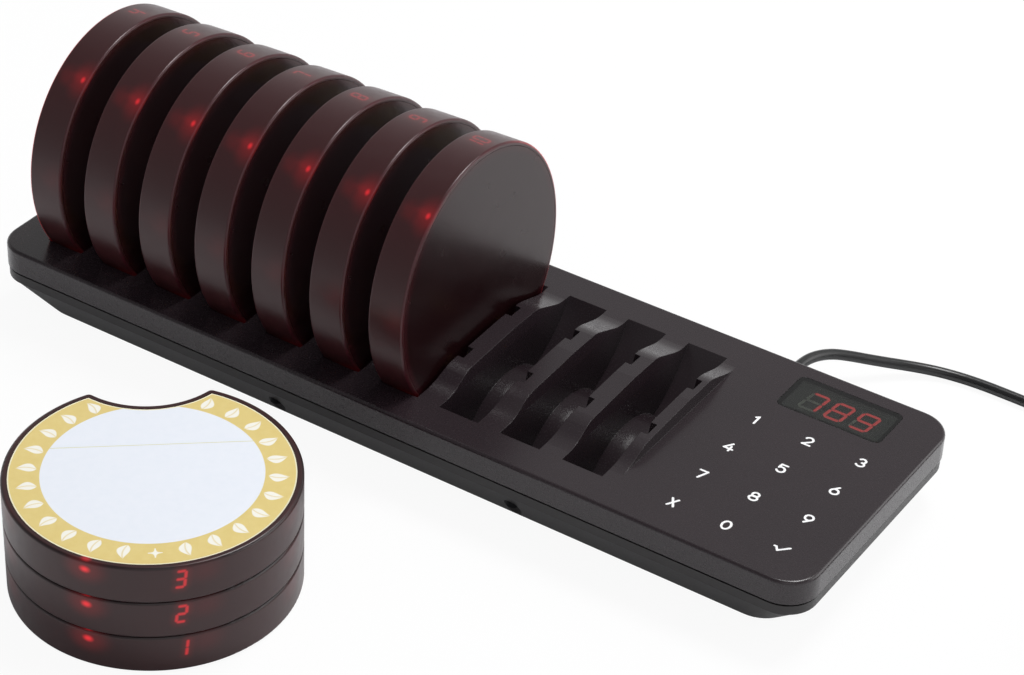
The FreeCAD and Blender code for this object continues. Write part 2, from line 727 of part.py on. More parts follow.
def make_top_shell():
    """Deck and side wall, slots with their ribs, window opening, screw bosses and lip."""
    outer = plate("top_outer", "base_length", "base_width", "base_corner", TOP_BASE, "deck_height")
    edge_round = outer.newObject("PartDesign::Fillet", "top_edge_round")
    doc.recompute()
    pad = outer.getObject("top_outer_pad")
    is_top = level_at(size("deck_height"))
    edge_round.Base = (pad, ["Edge%d" % n for n, edge in enumerate(pad.Shape.Edges, start=1) if is_top(edge)])
    bind(edge_round, Radius="deck_edge_round")
    outer.Tip = edge_round
    inner = plate("top_inner", "base_length - 2 * shell_wall", "base_width - 2 * shell_wall",
                  "base_corner - shell_wall", TOP_BASE + " - 1", "deck_height - deck_thickness")
    skin = cut("top_skin", outer, inner)
    trough_box = block("trough_box", ("first_slot - well_wall", LAST_SLOT_END + " + end_rib"),
                       ("0 - pager_radius", "pager_radius"), ("well_base", "deck_height - deck_thickness / 2"))
    trough_round = rod("trough_round", "pager_radius + dock_clearance + well_wall", "base_length",
                       "0 - base_length / 2", 0, DOCK_Z, "x")
    trough = overlap("trough", trough_box, trough_round)
    bosses = [rod("top_boss_%d" % n, "boss_radius", "deck_height - deck_thickness / 2 - boss_joint",
                  x, y, "boss_joint")
              for n, (x, y) in enumerate(shell_screw_spots(), start=1)]
    wall_in = "(band_inset + shell_wall + fit_gap)"
    lip_in = "(%s + lip_wall)" % wall_in
    lip_levels = ("parting_height - lip_depth", TOP_BASE + " + lip_root")
    lip_outer = plate("lip_outer", "base_length - 2 * " + wall_in, "base_width - 2 * " + wall_in,
                      "base_corner - " + wall_in, *lip_levels)
    root_outer = plate("lip_root_outer", "base_length - shell_wall", "base_width - shell_wall",
                       "base_corner - shell_wall / 2", TOP_BASE, lip_levels[1])
    lip_inner = plate("lip_inner", "base_length - 2 * " + lip_in, "base_width - 2 * " + lip_in,
                      "base_corner - " + lip_in, lip_levels[0] + " - 1", lip_levels[1] + " + 1")
    lip = cut("lip", join("lip_solid", lip_outer, root_outer), lip_inner)
    solid = join("top_solid", skin, trough, make_rib_hill(), lip, *bosses)

    tunnel = rod("tunnel", "notch_radius - dock_clearance - well_wall", "base_length",
                 "0 - base_length / 2", 0, HUMP_Z, "x")
    recess = plate("window_recess", "window_length + 2 * fit_gap", "window_width + 2 * fit_gap",
                   "window_corner + fit_gap", "deck_height - window_thickness", "deck_height + 1")
    opening = plate("window_opening", "window_length - 2 * window_ledge",
                    "window_width - 2 * window_ledge", "window_corner - window_ledge",
                    "deck_height - deck_thickness - 1", "deck_height")
    for thing in (recess, opening):
        bind(thing, x="window_x", y="window_y")
    pilots = [rod("top_pilot_%d" % n, "screw_radius + screw_hole_gap", "screw_length",
                  x, y, "boss_joint - 1")
              for n, (x, y) in enumerate(shell_screw_spots(), start=1)]
    shell = cut("top_shell", solid, tunnel, recess, opening, *pilots, *make_rib_cores(),
                *make_slot_cutters())
    return bind(shell, y=BASE_Y)


# ---------------------------------------------------------------------------------------------
# Bottom shell


def board_screw_spots():
    """Where the board screws stand."""
    rows = ["(charge_board_start + charge_screw_inset)", "((charge_board_start + charge_board_end) / 2)",
            "(charge_board_end - charge_screw_inset)"]
    charge = [(x, "%d * charge_screw_y" % side) for x in rows for side in (-1, 1)]
    return charge, [on_main_board(*spot) for spot in MAIN_SCREWS]


def foot_spots():
    """Where the feet sit, as expressions."""
    return [("%d * %s" % (side_x, reach), "%d * foot_y" % side_y)
            for reach in ("foot_x", "foot_inner_x") for side_x in (-1, 1) for side_y in (-1, 1)]


def make_bottom_shell():
    """Band and hull, with bosses, standoffs, foot recesses and the power inlet's shroud."""
    band_low = "(parting_height - band_height)"
    band = plate("band", "base_length - 2 * band_inset", "base_width - 2 * band_inset",
                 "base_corner - band_inset", band_low, "parting_height")
    step = "(band_inset + hull_step)"
    outer_hull = hull(
        "outer_hull",
        ("base_length - 2 * hull_inset_x", "base_width - 2 * hull_inset_y", "base_corner", "floor_height"),
        ("base_length - 2 * " + step, "base_width - 2 * " + step, "base_corner - " + step, band_low),
    )
    outer = join("bottom_outer", band, outer_hull)
    inset = "(band_inset + shell_wall)"
    band_hollow = plate("band_hollow", "base_length - 2 * " + inset, "base_width - 2 * " + inset,
                        "base_corner - " + inset, band_low, "parting_height + 1")
    hull_hollow = hull(
        "hull_hollow",
        ("base_length - 2 * (hull_inset_x + shell_wall)", "base_width - 2 * (hull_inset_y + shell_wall)",
         "base_corner - shell_wall", INNER_FLOOR),
        ("base_length - 2 * " + inset, "base_width - 2 * " + inset, "base_corner - " + inset, band_low),
    )
    skin = cut("bottom_skin", outer, band_hollow, hull_hollow)

    columns = [rod("bottom_boss_%d" % n, "boss_radius", "boss_joint", x, y, 0)
               for n, (x, y) in enumerate(shell_screw_spots(), start=1)]
    bosses = overlap("bottom_bosses", outer, join("bottom_columns", *columns))
    standoffs = [rod("standoff_%d" % n, "standoff_radius", "board_base - floor_height - 1", x, y,
                     "floor_height + 1")
                 for n, (x, y) in enumerate(sum(board_screw_spots(), []), start=1)]
    half = "(jack_width / 2 + fit_gap)"
    shroud = block("shroud", ("jack_x - %s - shroud_wall" % half, "jack_x + %s + shroud_wall" % half),
                   (BACK_WALL + " - shell_wall - 4", BACK_WALL),
                   ("jack_height - jack_width / 2 - 2.8", "parting_height - lip_depth - fit_gap"))
    solid = join("bottom_solid", skin, bosses, shroud, *standoffs)

    jack_room = block("jack_room", ("jack_x - " + half, "jack_x + " + half),
                      ("base_width / 4", BACK_WALL + " - shell_wall"),
                      (BOARD_TOP + " - fit_gap", "parting_height + 1"))
    inlet = rod("inlet_hole", "jack_nose_radius + fit_gap", "shell_wall + 2", "jack_x",
                BACK_WALL + " - shell_wall - 1", "jack_height", "y")
    holes = []
    for n, (x, y) in enumerate(shell_screw_spots(), start=1):
        holes.append(rod("screw_hole_%d" % n, "screw_radius + 0.2", "boss_joint + 1", x, y, "-1"))
        holes.append(rod("head_hole_%d" % n, "screw_head_radius + 0.3",
                         "screw_head_base + screw_head_height + 1", x, y, "-1"))
    for n, (x, y) in enumerate(sum(board_screw_spots(), []), start=1):
        holes.append(rod("board_hole_%d" % n, "board_screw_radius + screw_hole_gap",
                         "board_thickness + 1", x, y, "board_base - 1.2"))
    recesses = [rod("foot_recess_%d" % n, "foot_radius + fit_gap", "foot_recess + 1", x, y,
                    "floor_height - 1")
                for n, (x, y) in enumerate(foot_spots(), start=1)]
    shell = cut("bottom_shell", solid, jack_room, inlet, *holes, *recesses)
    return bind(shell, y=BASE_Y)


# ---------------------------------------------------------------------------------------------
# Display, keypad and boards


def make_display_window():
    """The smoked pane, flush with the deck."""
    pane = plate("display_window", "window_length", "window_width", "window_corner",
                 "deck_height - window_thickness", "deck_height")
    return bind(pane, x="window_x", y=BASE_Y + " + window_y")


def make_display_module():
    """The digit block under the window, on two header strips that stand on the main board."""
    top = "(deck_height - deck_thickness)"
    block_low = "(%s - display_height)" % top
    digits = middle_block("digit_block", "window_length - 2 * display_margin",
                          "window_width - 2 * display_margin", "display_height",
                          "window_x", "window_y", block_low)
    strips = [middle_block("header_%d" % n, "header_length", "header_width",
                           "%s - %s" % (block_low, BOARD_TOP), "window_x",
                           "window_y + %d * header_spacing / 2" % side, BOARD_TOP)
              for n, side in enumerate((-1, 1), start=1)]
    return bind(group("display_module", digits, *strips), y=BASE_Y)


def make_touch_board():
    """The sensing board glued under the printed keys, its controller and its ribbon."""
    top = "(deck_height - deck_thickness)"
    low = "(%s - touch_board_thickness)" % top
    ribbon_spot = on_main_board(*RIBBON_SPOT)
    board = block("sensor_board", ("touch_board_end - touch_board_length", "touch_board_end"),
                  ("touch_board_front", "touch_board_back"), (low, top))
    chip = middle_block("sensor_chip", "chip_size", "chip_size", "chip_height",
                        *on_main_board(*SENSOR_CHIP_SPOT), low + " - chip_height")
    socket = middle_block("sensor_socket", "socket_length", "socket_width", "socket_height",
                          *ribbon_spot, low + " - socket_height")
    ribbon = middle_block("sensor_ribbon", "ribbon_thickness", "ribbon_width",
                          "%s - %s - 2 * socket_height" % (low, BOARD_TOP), *ribbon_spot,
                          BOARD_TOP + " + socket_height")
    plug = middle_block("sensor_plug", "socket_length", "socket_width", "socket_height",
                        *ribbon_spot, BOARD_TOP)
    return bind(group("touch_board", board, chip, socket, ribbon, plug), y=BASE_Y)


def drilled_board(name, start, end, width, spots):
    """A board at board height with a hole for each of its screws."""
    board = block(name + "_blank", (start, end), ("0 - (%s) / 2" % width, "(%s) / 2" % width),
                  ("board_base", BOARD_TOP))
    holes = [rod("%s_hole_%d" % (name, n), "board_screw_radius + screw_hole_gap",
                 "board_thickness + 2", x, y, "board_base - 1")
             for n, (x, y) in enumerate(spots, start=1)]
    return cut(name, board, *holes)


def make_charge_board():
    """The long board under the slots, with a regulator for every second slot."""
    board = drilled_board("charge_panel", "charge_board_start", "charge_board_end",
                          "charge_board_width", board_screw_spots()[0])
    chips = [middle_block("charge_chip_%d" % n, "chip_size", "chip_size", "chip_height",
                          "%s + slot_width / 2" % slot_start(2 * n), 0, BOARD_TOP)
             for n in range(SLOTS // 2)]
    return bind(group("charge_board", board, *chips), y=BASE_Y)


def make_main_board():
    """Controller board with its radio module and the connector to the charging board."""
    board = drilled_board("main_panel", "main_board_start", "main_board_start + main_board_length",
                          "main_board_width", board_screw_spots()[1])
    parts = [middle_block(name, *["%g * chip_size" % share for share in (length, width, height)],
                          *on_main_board(*spot), BOARD_TOP)
             for name, (length, width, height, *spot) in MAIN_PARTS.items()]
    joint = "(charge_board_end + main_board_start) / 2"
    connector = middle_block("connector", "connector_length", "connector_width",
                             "connector_height", joint, 0, BOARD_TOP)
    return bind(group("main_board", board, connector, *parts), y=BASE_Y)


def make_buzzer():
    """A piezo buzzer with its sound hole."""
    spot = on_main_board(*BUZZER_SPOT)
    can = rod("buzzer_can", "buzzer_radius", "buzzer_height", *spot, BOARD_TOP)
    hole = rod("buzzer_hole", "buzzer_radius / 5", 3, *spot, BOARD_TOP + " + buzzer_height - 2")
    return bind(cut("buzzer", can, hole), y=BASE_Y)


def make_antenna():
    """A wire held level in a stub that stands on the main board."""
    x, y = on_main_board(*ANTENNA_SPOT)
    mast = rod("antenna_mast", "antenna_mast_radius", "antenna_height", x, y, BOARD_TOP)
    arm = rod("antenna_arm", "antenna_radius", "antenna_length", x, y + " - antenna_length",
              BOARD_TOP + " + antenna_height - 2 * antenna_radius", "y")
    return bind(join("antenna", mast, arm), y=BASE_Y)


def make_charge_springs():
    """Two leaf springs per slot: each stands on the charging board in its groove and bows out
    to the pad in the pager's lid."""
    body = doc.addObject("PartDesign::Body", "spring_leaf")
    foot = BOARD_TOP
    back = "(groove_depth - 0.4)"
    touch = "(%s + (deck_height - %s) * tan(dock_lean) - slot_width + spring_touch_gap)" % (
        LID_AT_DECK, CONTACT_Z)
    height = CONTACT_Z
    slant = "spring_strip * 1.06"
    points = [
        (back, foot),
        (back, height + " - 9"),
        (touch + " + spring_strip", height + " - 0.5"),
        (touch + " + spring_strip", height + " + 0.5"),
        (back + " - 1", height + " + 4"),
        (back + " - 1 - " + slant, height + " + 4"),
        (touch, height + " + 0.8"),
        (touch, height + " - 0.8"),
        (back + " - spring_strip", height + " - 9.2"),
        (back + " - spring_strip", foot + " + spring_strip"),
        (back + " - 2", foot + " + spring_strip"),
        (back + " - 2", foot),
    ]
    sketch = polygon(body, "spring_outline", "XZ_Plane", "0 - spring_width / 2", points)
    pad = body.newObject("PartDesign::Pad", "spring_pad")
    pad.Profile = sketch
    bind(pad, Length="spring_width")
    leaves = [copy_at("spring_%d_%d" % (n + 1, side), body, x="%s + slot_width" % slot_start(n),
                      y="%d * contact_spacing / 2" % side)
              for n in range(SLOTS) for side in (-1, 1)]
    return bind(group("charge_springs", *leaves), y=BASE_Y)


# ---------------------------------------------------------------------------------------------
# Fasteners and feet


def make_case_screws():
    """Eight screws that rise through the bottom shell's bosses into the top shell's."""
    shank_low = "screw_head_base + screw_head_height"
    head = rod("case_screw_head", "screw_head_radius", "screw_head_height", 0, 0, "screw_head_base")
    shank = rod("case_screw_shank", "screw_radius", "screw_length", 0, 0, shank_low)
    slot = middle_block("case_screw_cross", 3, 0.7, 1, 0, 0, "screw_head_base - 0.2")
    screw = cut("case_screw", join("case_screw_blank", head, shank), slot)
    screws = [copy_at("case_screw_%d" % n, screw, x=x, y=y)
              for n, (x, y) in enumerate(shell_screw_spots(), start=1)]
    return bind(group("case_screws", *screws), y=BASE_Y)


def make_board_screws():
    """Ten small screws that hold both boards down on their standoffs."""
    head = rod("board_screw_cap", "board_screw_head", 1.2, 0, 0, BOARD_TOP)
    shank = rod("board_screw_shank", "board_screw_radius", "board_thickness + 1", 0, 0, "board_base - 1")
    screw = join("board_screw", head, shank)
    screws = [copy_at("board_screw_%d" % n, screw, x=x, y=y)
              for n, (x, y) in enumerate(sum(board_screw_spots(), []), start=1)]
    return bind(group("board_screws", *screws), y=BASE_Y)


def make_rubber_feet():
    """Eight round feet in their recesses."""
    foot = rod("foot_blank", "foot_radius", "floor_height + foot_recess", 0, 0, 0)
    feet = [copy_at("foot_%d" % n, foot, x=x, y=y) for n, (x, y) in enumerate(foot_spots(), start=1)]
    return bind(group("rubber_feet", *feet), y=BASE_Y)


# ---------------------------------------------------------------------------------------------
# Power inlet, plug, lead and adapter


def make_dc_jack():
    """The inlet on the main board, its nose in the back wall's hole."""
    front = BACK_WALL + " - shell_wall"
    case = block("jack_case", ("jack_x - jack_width / 2", "jack_x + jack_width / 2"),
                 (front + " - jack_length", front), (BOARD_TOP, "jack_height + jack_width / 2"))
    nose = rod("jack_nose", "jack_nose_radius", "shell_wall + 0.5", "jack_x", front + " - 0.5",
               "jack_height", "y")
    bore = rod("jack_mouth", "jack_bore", "jack_bore_depth + 1", "jack_x",
               BACK_WALL + " - jack_bore_depth", "jack_height", "y")
    return bind(cut("dc_jack", join("jack_solid", case, nose), bore), y=BASE_Y)


def make_dc_plug():
    """Moulded plug with its barrel in the jack and a tapered boot round the lead."""
    barrel = rod("plug_barrel", "plug_barrel_radius", "plug_barrel_length + 1", "jack_x",
                 BACK_WALL + " - plug_barrel_length", "jack_height", "y")
    grip = rod("plug_grip", "plug_radius", "plug_length", "jack_x", BACK_WALL, "jack_height", "y")
    boot = taper("plug_boot", "plug_radius * 0.8", "boot_end_radius", "boot_length", "jack_x",
                 BACK_WALL + " + plug_length", "jack_height", "y")
    return bind(join("dc_plug", barrel, grip, boot), y=BASE_Y)


def rounded_path(points):
    """Straight runs and the largest arcs that they allow; returns the edges and the arcs' radii."""
    edges = []
    radii = []
    spot = points[0]
    for before, corner, after in zip(points, points[1:], points[2:]):
        way_in = (corner - before).normalize()
        way_out = (after - corner).normalize()
        half_turn = way_in.getAngle(way_out) / 2
        run = 0.45 * min((corner - before).Length, (after - corner).Length)
        radii.append(run / math.tan(half_turn))
        start = corner - way_in * run
        end = corner + way_out * run
        inward = (way_out - way_in).normalize()
        centre = corner + inward * (run / math.sin(half_turn))
        middle = centre - inward * radii[-1]
        edges.append(Part.LineSegment(spot, start).toShape())
        edges.append(Part.Arc(start, middle, end).toShape())
        spot = end
    edges.append(Part.LineSegment(spot, points[-1]).toShape())
    return edges, radii


def boot_end():
    """The table under the end of the plug's boot, from the base's middle."""
    back = size("base_width") / 2 - size("band_inset") + size("plug_length") + size("boot_length")
    return Vector(size("jack_x"), back, 0)


def coil_entry():
    """Where the lead's free stretch meets the coil, from the base's middle."""
    return boot_end() + Vector(*CORD_ROUTE[-1]) + Vector(6 * size("cord_radius"), 0, 0)


def make_cord():
    """The stretch of lead that lies free, from the boot to the coil."""
    thing = doc.addObject("Part::Feature", "cord")
    points = [boot_end() + Vector(0, 0, size("jack_height"))]
    points += [boot_end() + Vector(*place) for place in CORD_ROUTE]
    points.append(coil_entry())
    edges, radii = rounded_path(points)
    path = Part.Wire(edges)
    ring = Part.Wire(Part.makeCircle(size("cord_radius"), points[0], points[1] - points[0]))
    tube = path.makePipeShell([ring], True, False)
    thing.Shape = tube
    expected = math.pi * size("cord_radius") ** 2 * path.Length
    print("cord: length %.1f, radii %s, volume share %.4f" % (
        path.Length, ["%.0f" % value for value in radii], tube.Volume / expected))
    return bind(thing, y=BASE_Y)


def coil_middle():
    """The coil's middle: the lead runs into its back edge."""
    return coil_entry().y - size("coil_ring")


def tie_block(name, inset, radius):
    """A rounded block round the coil's turns where the tie holds them."""
    left = "(coil_x - coil_ring - coil_half_width - tie_bulge + (%s))" % inset
    right = "(coil_x - coil_ring + coil_half_width + tie_bulge - (%s))" % inset
    span_y = ["%g %s tie_width / 2" % (coil_middle(), sign) for sign in "-+"]
    thing = block(name, (left, right), span_y, (inset, "coil_thickness - (%s)" % inset))
    return rounded(name + "_soft", thing, radius, lambda edge: edge.BoundBox.YLength > 1)


def make_coil_tie():
    """The strap that squeezes the coil's turns on the side away from the adapter's lead."""
    outer = tie_block("tie_outer", "0", size("tie_round"))
    inner = tie_block("tie_inner", "tie_thickness", size("tie_round") - size("tie_thickness"))
    return bind(cut("coil_tie", outer, inner), y=BASE_Y)


def make_cord_coil():
    """The coiled length as one ring, squeezed by its tie, with both ends of the lead that leave it."""
    entry = coil_entry()
    middle = coil_middle()
    outer = rod("coil_outer", "coil_ring + coil_half_width", "coil_thickness", "coil_x", middle, 0)
    inner = rod("coil_inner", "coil_ring - coil_half_width", "coil_thickness + 2", "coil_x", middle, -1)
    ring = cut("coil_plain", outer, inner)
    soft = rounded("coil_soft", ring, 0.45 * size("coil_half_width"), lambda edge: not upright(edge))
    room = cut("tie_room", tie_block("tie_room_outer", "0 - 1", size("tie_round")),
               tie_block("tie_room_inner", "tie_thickness", size("tie_round") - size("tie_thickness")))
    squeezed = cut("coil_squeezed", soft, room)
    lead_in = rod("coil_lead_in", "cord_radius", "coil_x - %g" % entry.x, entry.x, entry.y,
                  "cord_radius", "x")
    lead_out = rod("coil_lead_out", "cord_radius", "adapter_lead_run + coil_half_width",
                   "coil_x + coil_ring", "%g - coil_half_width - adapter_lead_run" % middle,
                   "adapter_lead_height", "y")
    return bind(join("cord_coil", squeezed, lead_in, lead_out), y=BASE_Y)


def make_power_adapter():
    """The mains adapter on the table at the lead's far end, with its two pins."""
    middle = coil_middle()
    boot_back = "(%g - coil_half_width - adapter_lead_run)" % middle
    body_back = "(%s - adapter_boot_length)" % boot_back
    x = "(coil_x + coil_ring)"
    case = block("adapter_case", (x + " - adapter_width / 2", x + " + adapter_width / 2"),
                 (body_back + " - adapter_length", body_back), (0, "adapter_height"))
    soft = rounded("adapter_body", case, size("adapter_round"),
                   lambda edge: edge.BoundBox.ZMax > 1e-6)
    boot = taper("adapter_boot", "adapter_boot_radius", "cord_radius + 0.3",
                 "adapter_boot_length + 1", x, body_back + " - 1", "adapter_lead_height", "y")
    solid = join("adapter_solid", soft, boot)
    pins = [rod("adapter_pin_%d" % n, "pin_radius", "pin_length",
                "%s + %d * pin_spacing / 2" % (x, side),
                body_back + " - adapter_length - pin_length", "adapter_height / 2", "y")
            for n, side in enumerate((-1, 1), start=1)]
    return bind(group("power_adapter", solid, *pins), y=BASE_Y)


# ---------------------------------------------------------------------------------------------
# Build and write

names = place_pagers()
for thing in (
    make_top_shell(),
    make_bottom_shell(),
    make_display_window(),
    make_display_module(),
    make_touch_board(),
    make_charge_board(),
    make_main_board(),
    make_buzzer(),
    make_antenna(),
    make_charge_springs(),
    make_case_screws(),
    make_board_screws(),
    make_rubber_feet(),
    make_dc_jack(),
    make_dc_plug(),
    make_cord(),
    make_cord_coil(),
    make_coil_tie(),
    make_power_adapter(),
):
    names.append(thing.Name)

doc.recompute()
for thing in doc.Objects:
    if "Invalid" in thing.State or "Error" in thing.State:
        raise RuntimeError("%s did not compute: %s" % (thing.Name, thing.State))

os.makedirs("parts", exist_ok=True)
for name in names:
    thing = doc.getObject(name)
    thing.Label = name
    if thing.Shape.isNull() or not thing.Shape.isValid():
        raise RuntimeError("%s has no valid shape" % name)
    thing.Shape.exportStep("parts/%s.step" % name)
print("%d sub-parts written" % len(names))
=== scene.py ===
"""Guest pager system: a charging base with a touch keypad, seven docked pagers and a stack of three."""
import math

import bpy
import numpy as np
from mathutils import Euler, Matrix, Quaternion, Vector


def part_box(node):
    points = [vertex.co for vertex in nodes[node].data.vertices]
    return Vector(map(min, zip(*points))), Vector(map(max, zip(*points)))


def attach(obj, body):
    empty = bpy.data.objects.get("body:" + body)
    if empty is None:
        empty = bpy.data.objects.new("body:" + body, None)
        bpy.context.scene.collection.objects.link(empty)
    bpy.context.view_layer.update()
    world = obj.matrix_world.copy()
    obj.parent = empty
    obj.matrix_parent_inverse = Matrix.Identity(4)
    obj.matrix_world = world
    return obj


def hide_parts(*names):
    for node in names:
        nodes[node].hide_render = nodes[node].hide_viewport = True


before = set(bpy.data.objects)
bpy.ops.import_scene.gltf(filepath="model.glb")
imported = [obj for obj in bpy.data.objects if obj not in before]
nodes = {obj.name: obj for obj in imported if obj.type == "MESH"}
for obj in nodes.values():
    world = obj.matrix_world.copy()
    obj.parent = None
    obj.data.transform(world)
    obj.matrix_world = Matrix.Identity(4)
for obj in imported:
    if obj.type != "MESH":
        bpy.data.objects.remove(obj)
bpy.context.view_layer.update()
MM = 0.001


# ---------------------------------------------------------------------------------------------
# View, table and light
# A plain pale table under three soft lamps, seen from the front right and above. The table's card is
# matt and nearly white, and the air round it is as pale as the table.

view_place = Vector((0.46832, -0.66269, 0.63699))
view_aim = Vector((-0.02436, 0.09783, 0.0))
view_roll = math.radians(2.05)
view_lens, view_sensor = 106.18, 36.0
view_shift_x, view_shift_y = 0.0623, -0.0056

camera = bpy.data.objects.new("view", bpy.data.cameras.new("view"))
camera.data.sensor_width = view_sensor
camera.data.lens = view_lens
camera.data.shift_x = view_shift_x
camera.data.shift_y = view_shift_y
camera.data.clip_start = 0.01
camera.location = view_place
camera.rotation_mode = "QUATERNION"
camera.rotation_quaternion = ((view_aim - view_place).to_track_quat("-Z", "Y")
                              @ Quaternion((0, 0, 1), view_roll))
bpy.context.scene.collection.objects.link(camera)
bpy.context.scene.camera = camera
bpy.context.scene.view_settings.view_transform = "Standard"


def linear(colour):
    """A hex colour as the linear red, green, blue and alpha that a shader takes.

    Each channel over 255 is divided by 12.92 when it is small, and otherwise raised to 2.4 after its
    offset of 0.055 is taken up.
    """
    share = np.array([int(colour[n:n + 2], 16) for n in (1, 3, 5)]) / 255
    curve = np.where(share <= 0.04045, share / 12.92, ((share + 0.055) / 1.055) ** 2.4)
    return (*curve.tolist(), 1.0)


def add(tree, kind, sockets=None, **settings):
    """Add one shader node; a socket is given a value, or the node or output that feeds it."""
    node = tree.nodes.new("ShaderNode" + kind)
    for name, value in settings.items():
        setattr(node, name, value)
    for name, value in (sockets or {}).items():
        if isinstance(value, bpy.types.Node):
            value = value.outputs[0]
        if isinstance(value, bpy.types.NodeSocket):
            tree.links.new(value, node.inputs[name])
        else:
            node.inputs[name].default_value = value
    return node


def calc(tree, operation, *values):
    """The value of one Math node over up to three values or outputs."""
    return add(tree, "Math", dict(enumerate(values)), operation=operation).outputs[0]


def mixed(tree, share, first, second):
    """A colour between two: the first where the share is 0, the second where it is 1."""
    return add(tree, "Mix", {0: share, 6: first, 7: second}, data_type="RGBA").outputs[2]


def ramp(tree, value, start, end, at_start=0.0, at_end=1.0, kind="LINEAR"):
    """A value's range from start to end brought to another range, and held level past both ends."""
    return add(tree, "MapRange", {0: value, 1: start, 2: end, 3: at_start, 4: at_end},
               interpolation_type=kind).outputs[0]


def noise(tree, place, size, detail):
    """A cloudy value from 0 to 1 whose clouds are about that size across, in metres."""
    return add(tree, "TexNoise", {"Vector": place, "Scale": 1 / size, "Detail": detail}).outputs[0]


air = bpy.data.worlds.new("pale_air")
air.use_nodes = True
air_tree = air.node_tree
air_tree.nodes.clear()
air_path = add(air_tree, "LightPath")
air_way = add(air_tree, "TexCoord").outputs["Generated"]
# Gloss meets air that is white near the table and dims overhead, where a room's ceiling is, and to
# the front left, where the room lies open
air_height = add(air_tree, "SeparateXYZ", {0: air_way}).outputs["Z"]
air_dim = ramp(air_tree, air_height, 0.05, 0.8, 0.95, 0.3)
air_turn = add(air_tree, "VectorMath", {0: air_way, 1: (0.5, 0.85, 0)}, operation="DOT_PRODUCT")
air_open = ramp(air_tree, air_turn.outputs["Value"], -0.9, 0.1, 0.5, 1.0)
air_dim = calc(air_tree, "MULTIPLY", air_dim, air_open)
air_gloss = add(air_tree, "Background", {"Color": linear("#FFFFFF"), "Strength": air_dim})
air_light = add(air_tree, "Background", {"Color": linear("#F4F6FA"), "Strength": 0.4})
air_seen = add(air_tree, "Background", {"Color": linear("#FFFFFF"), "Strength": 1.0})
air_clear = calc(air_tree, "MAXIMUM", air_path.outputs["Is Camera Ray"],
                 air_path.outputs["Is Transmission Ray"])
air_mix = add(air_tree, "MixShader", {0: air_path.outputs["Is Glossy Ray"], 1: air_light, 2: air_gloss})
air_mix = add(air_tree, "MixShader", {0: air_clear, 1: air_mix, 2: air_seen})
add(air_tree, "OutputWorld", {"Surface": air_mix})
bpy.context.scene.world = air

card = bpy.data.materials.new("white_card")
card.use_nodes = True
card_tree = card.node_tree
card_tree.nodes.clear()
card_matt = add(card_tree, "BsdfDiffuse", {"Color": linear("#F6F6F6")})
card_lit = add(card_tree, "Emission", {"Color": linear("#FFFFFF"), "Strength": 1.0})
# The camera and glass see the card nearly white; gloss sees mostly its real shade, with the shadows
card_path = add(card_tree, "LightPath")
card_seen = calc(card_tree, "MAXIMUM", card_path.outputs["Is Camera Ray"],
                 card_path.outputs["Is Transmission Ray"])
card_seen = calc(card_tree, "MULTIPLY", card_seen, 0.93)
card_gloss = calc(card_tree, "MULTIPLY", card_path.outputs["Is Glossy Ray"], 0.05)
card_share = calc(card_tree, "MAXIMUM", card_seen, card_gloss)
card_mix = add(card_tree, "MixShader", {0: card_share, 1: card_matt, 2: card_lit})
add(card_tree, "OutputMaterial", {"Surface": card_mix})

table_reach, table_drop = 6.0, 0.2 * MM
table_mesh = bpy.data.meshes.new("table")
table_mesh.from_pydata([(x * table_reach, y * table_reach, -table_drop)
                        for x, y in ((-1, -1), (1, -1), (1, 1), (-1, 1))], [], [(0, 1, 2, 3)])
table_mesh.materials.append(card)
table = bpy.data.objects.new("table", table_mesh)
bpy.context.scene.collection.objects.link(table)

# Each lamp: its place, what it points at, the side of its square in metres, and its watts
lamps = {
    "window_lamp": ((0.15, 0.6, 1.45), (0, 0.05, 0), 0.5, 15.8),
    "room_lamp": ((0.9, -1.1, 1.2), (0, 0.05, 0), 1.0, 2.4),
    "right_lamp": ((0.6, 0.42, 0.3), (0.22, 0.1, 0), 0.5, 1.6),
}
for lamp_name, (lamp_place, lamp_aim, lamp_side, lamp_watts) in lamps.items():
    lamp = bpy.data.lights.new(lamp_name, "AREA")
    lamp.size = lamp_side
    lamp.energy = lamp_watts
    lamp_object = bpy.data.objects.new(lamp_name, lamp)
    lamp_object.location = lamp_place
    lamp_object.rotation_mode = "QUATERNION"
    lamp_object.rotation_quaternion = (Vector(lamp_aim) - Vector(lamp_place)).to_track_quat("-Z", "Y")
    bpy.context.scene.collection.objects.link(lamp_object)


# ---------------------------------------------------------------------------------------------
# Bottom shell
# The hull of the base: ABS, injection moulded in one piece with its bosses. It carries the boards, and
# eight screws from below hold it to the top shell.

def finish_of(name, colour, roughness, **sockets):
    """A new material of that name and its own shader, set to plain values to start from."""
    material = bpy.data.materials.new(name)
    material.use_nodes = True
    tree = material.node_tree
    shader = tree.nodes["Principled BSDF"]
    shader.inputs["Base Color"].default_value = linear(colour)
    shader.inputs["Roughness"].default_value = roughness
    for word, value in sockets.items():
        shader.inputs[word.replace("_", " ")].default_value = value
    return material, tree, shader


def dress(name, *materials):
    """Give a CAD node its materials."""
    slots = nodes[name].data.materials
    slots.clear()
    for material in materials:
        slots.append(material)


# The tool's grain is about 0.1 mm; it is drawn larger so that it shows.
grain_size = 0.6 * MM


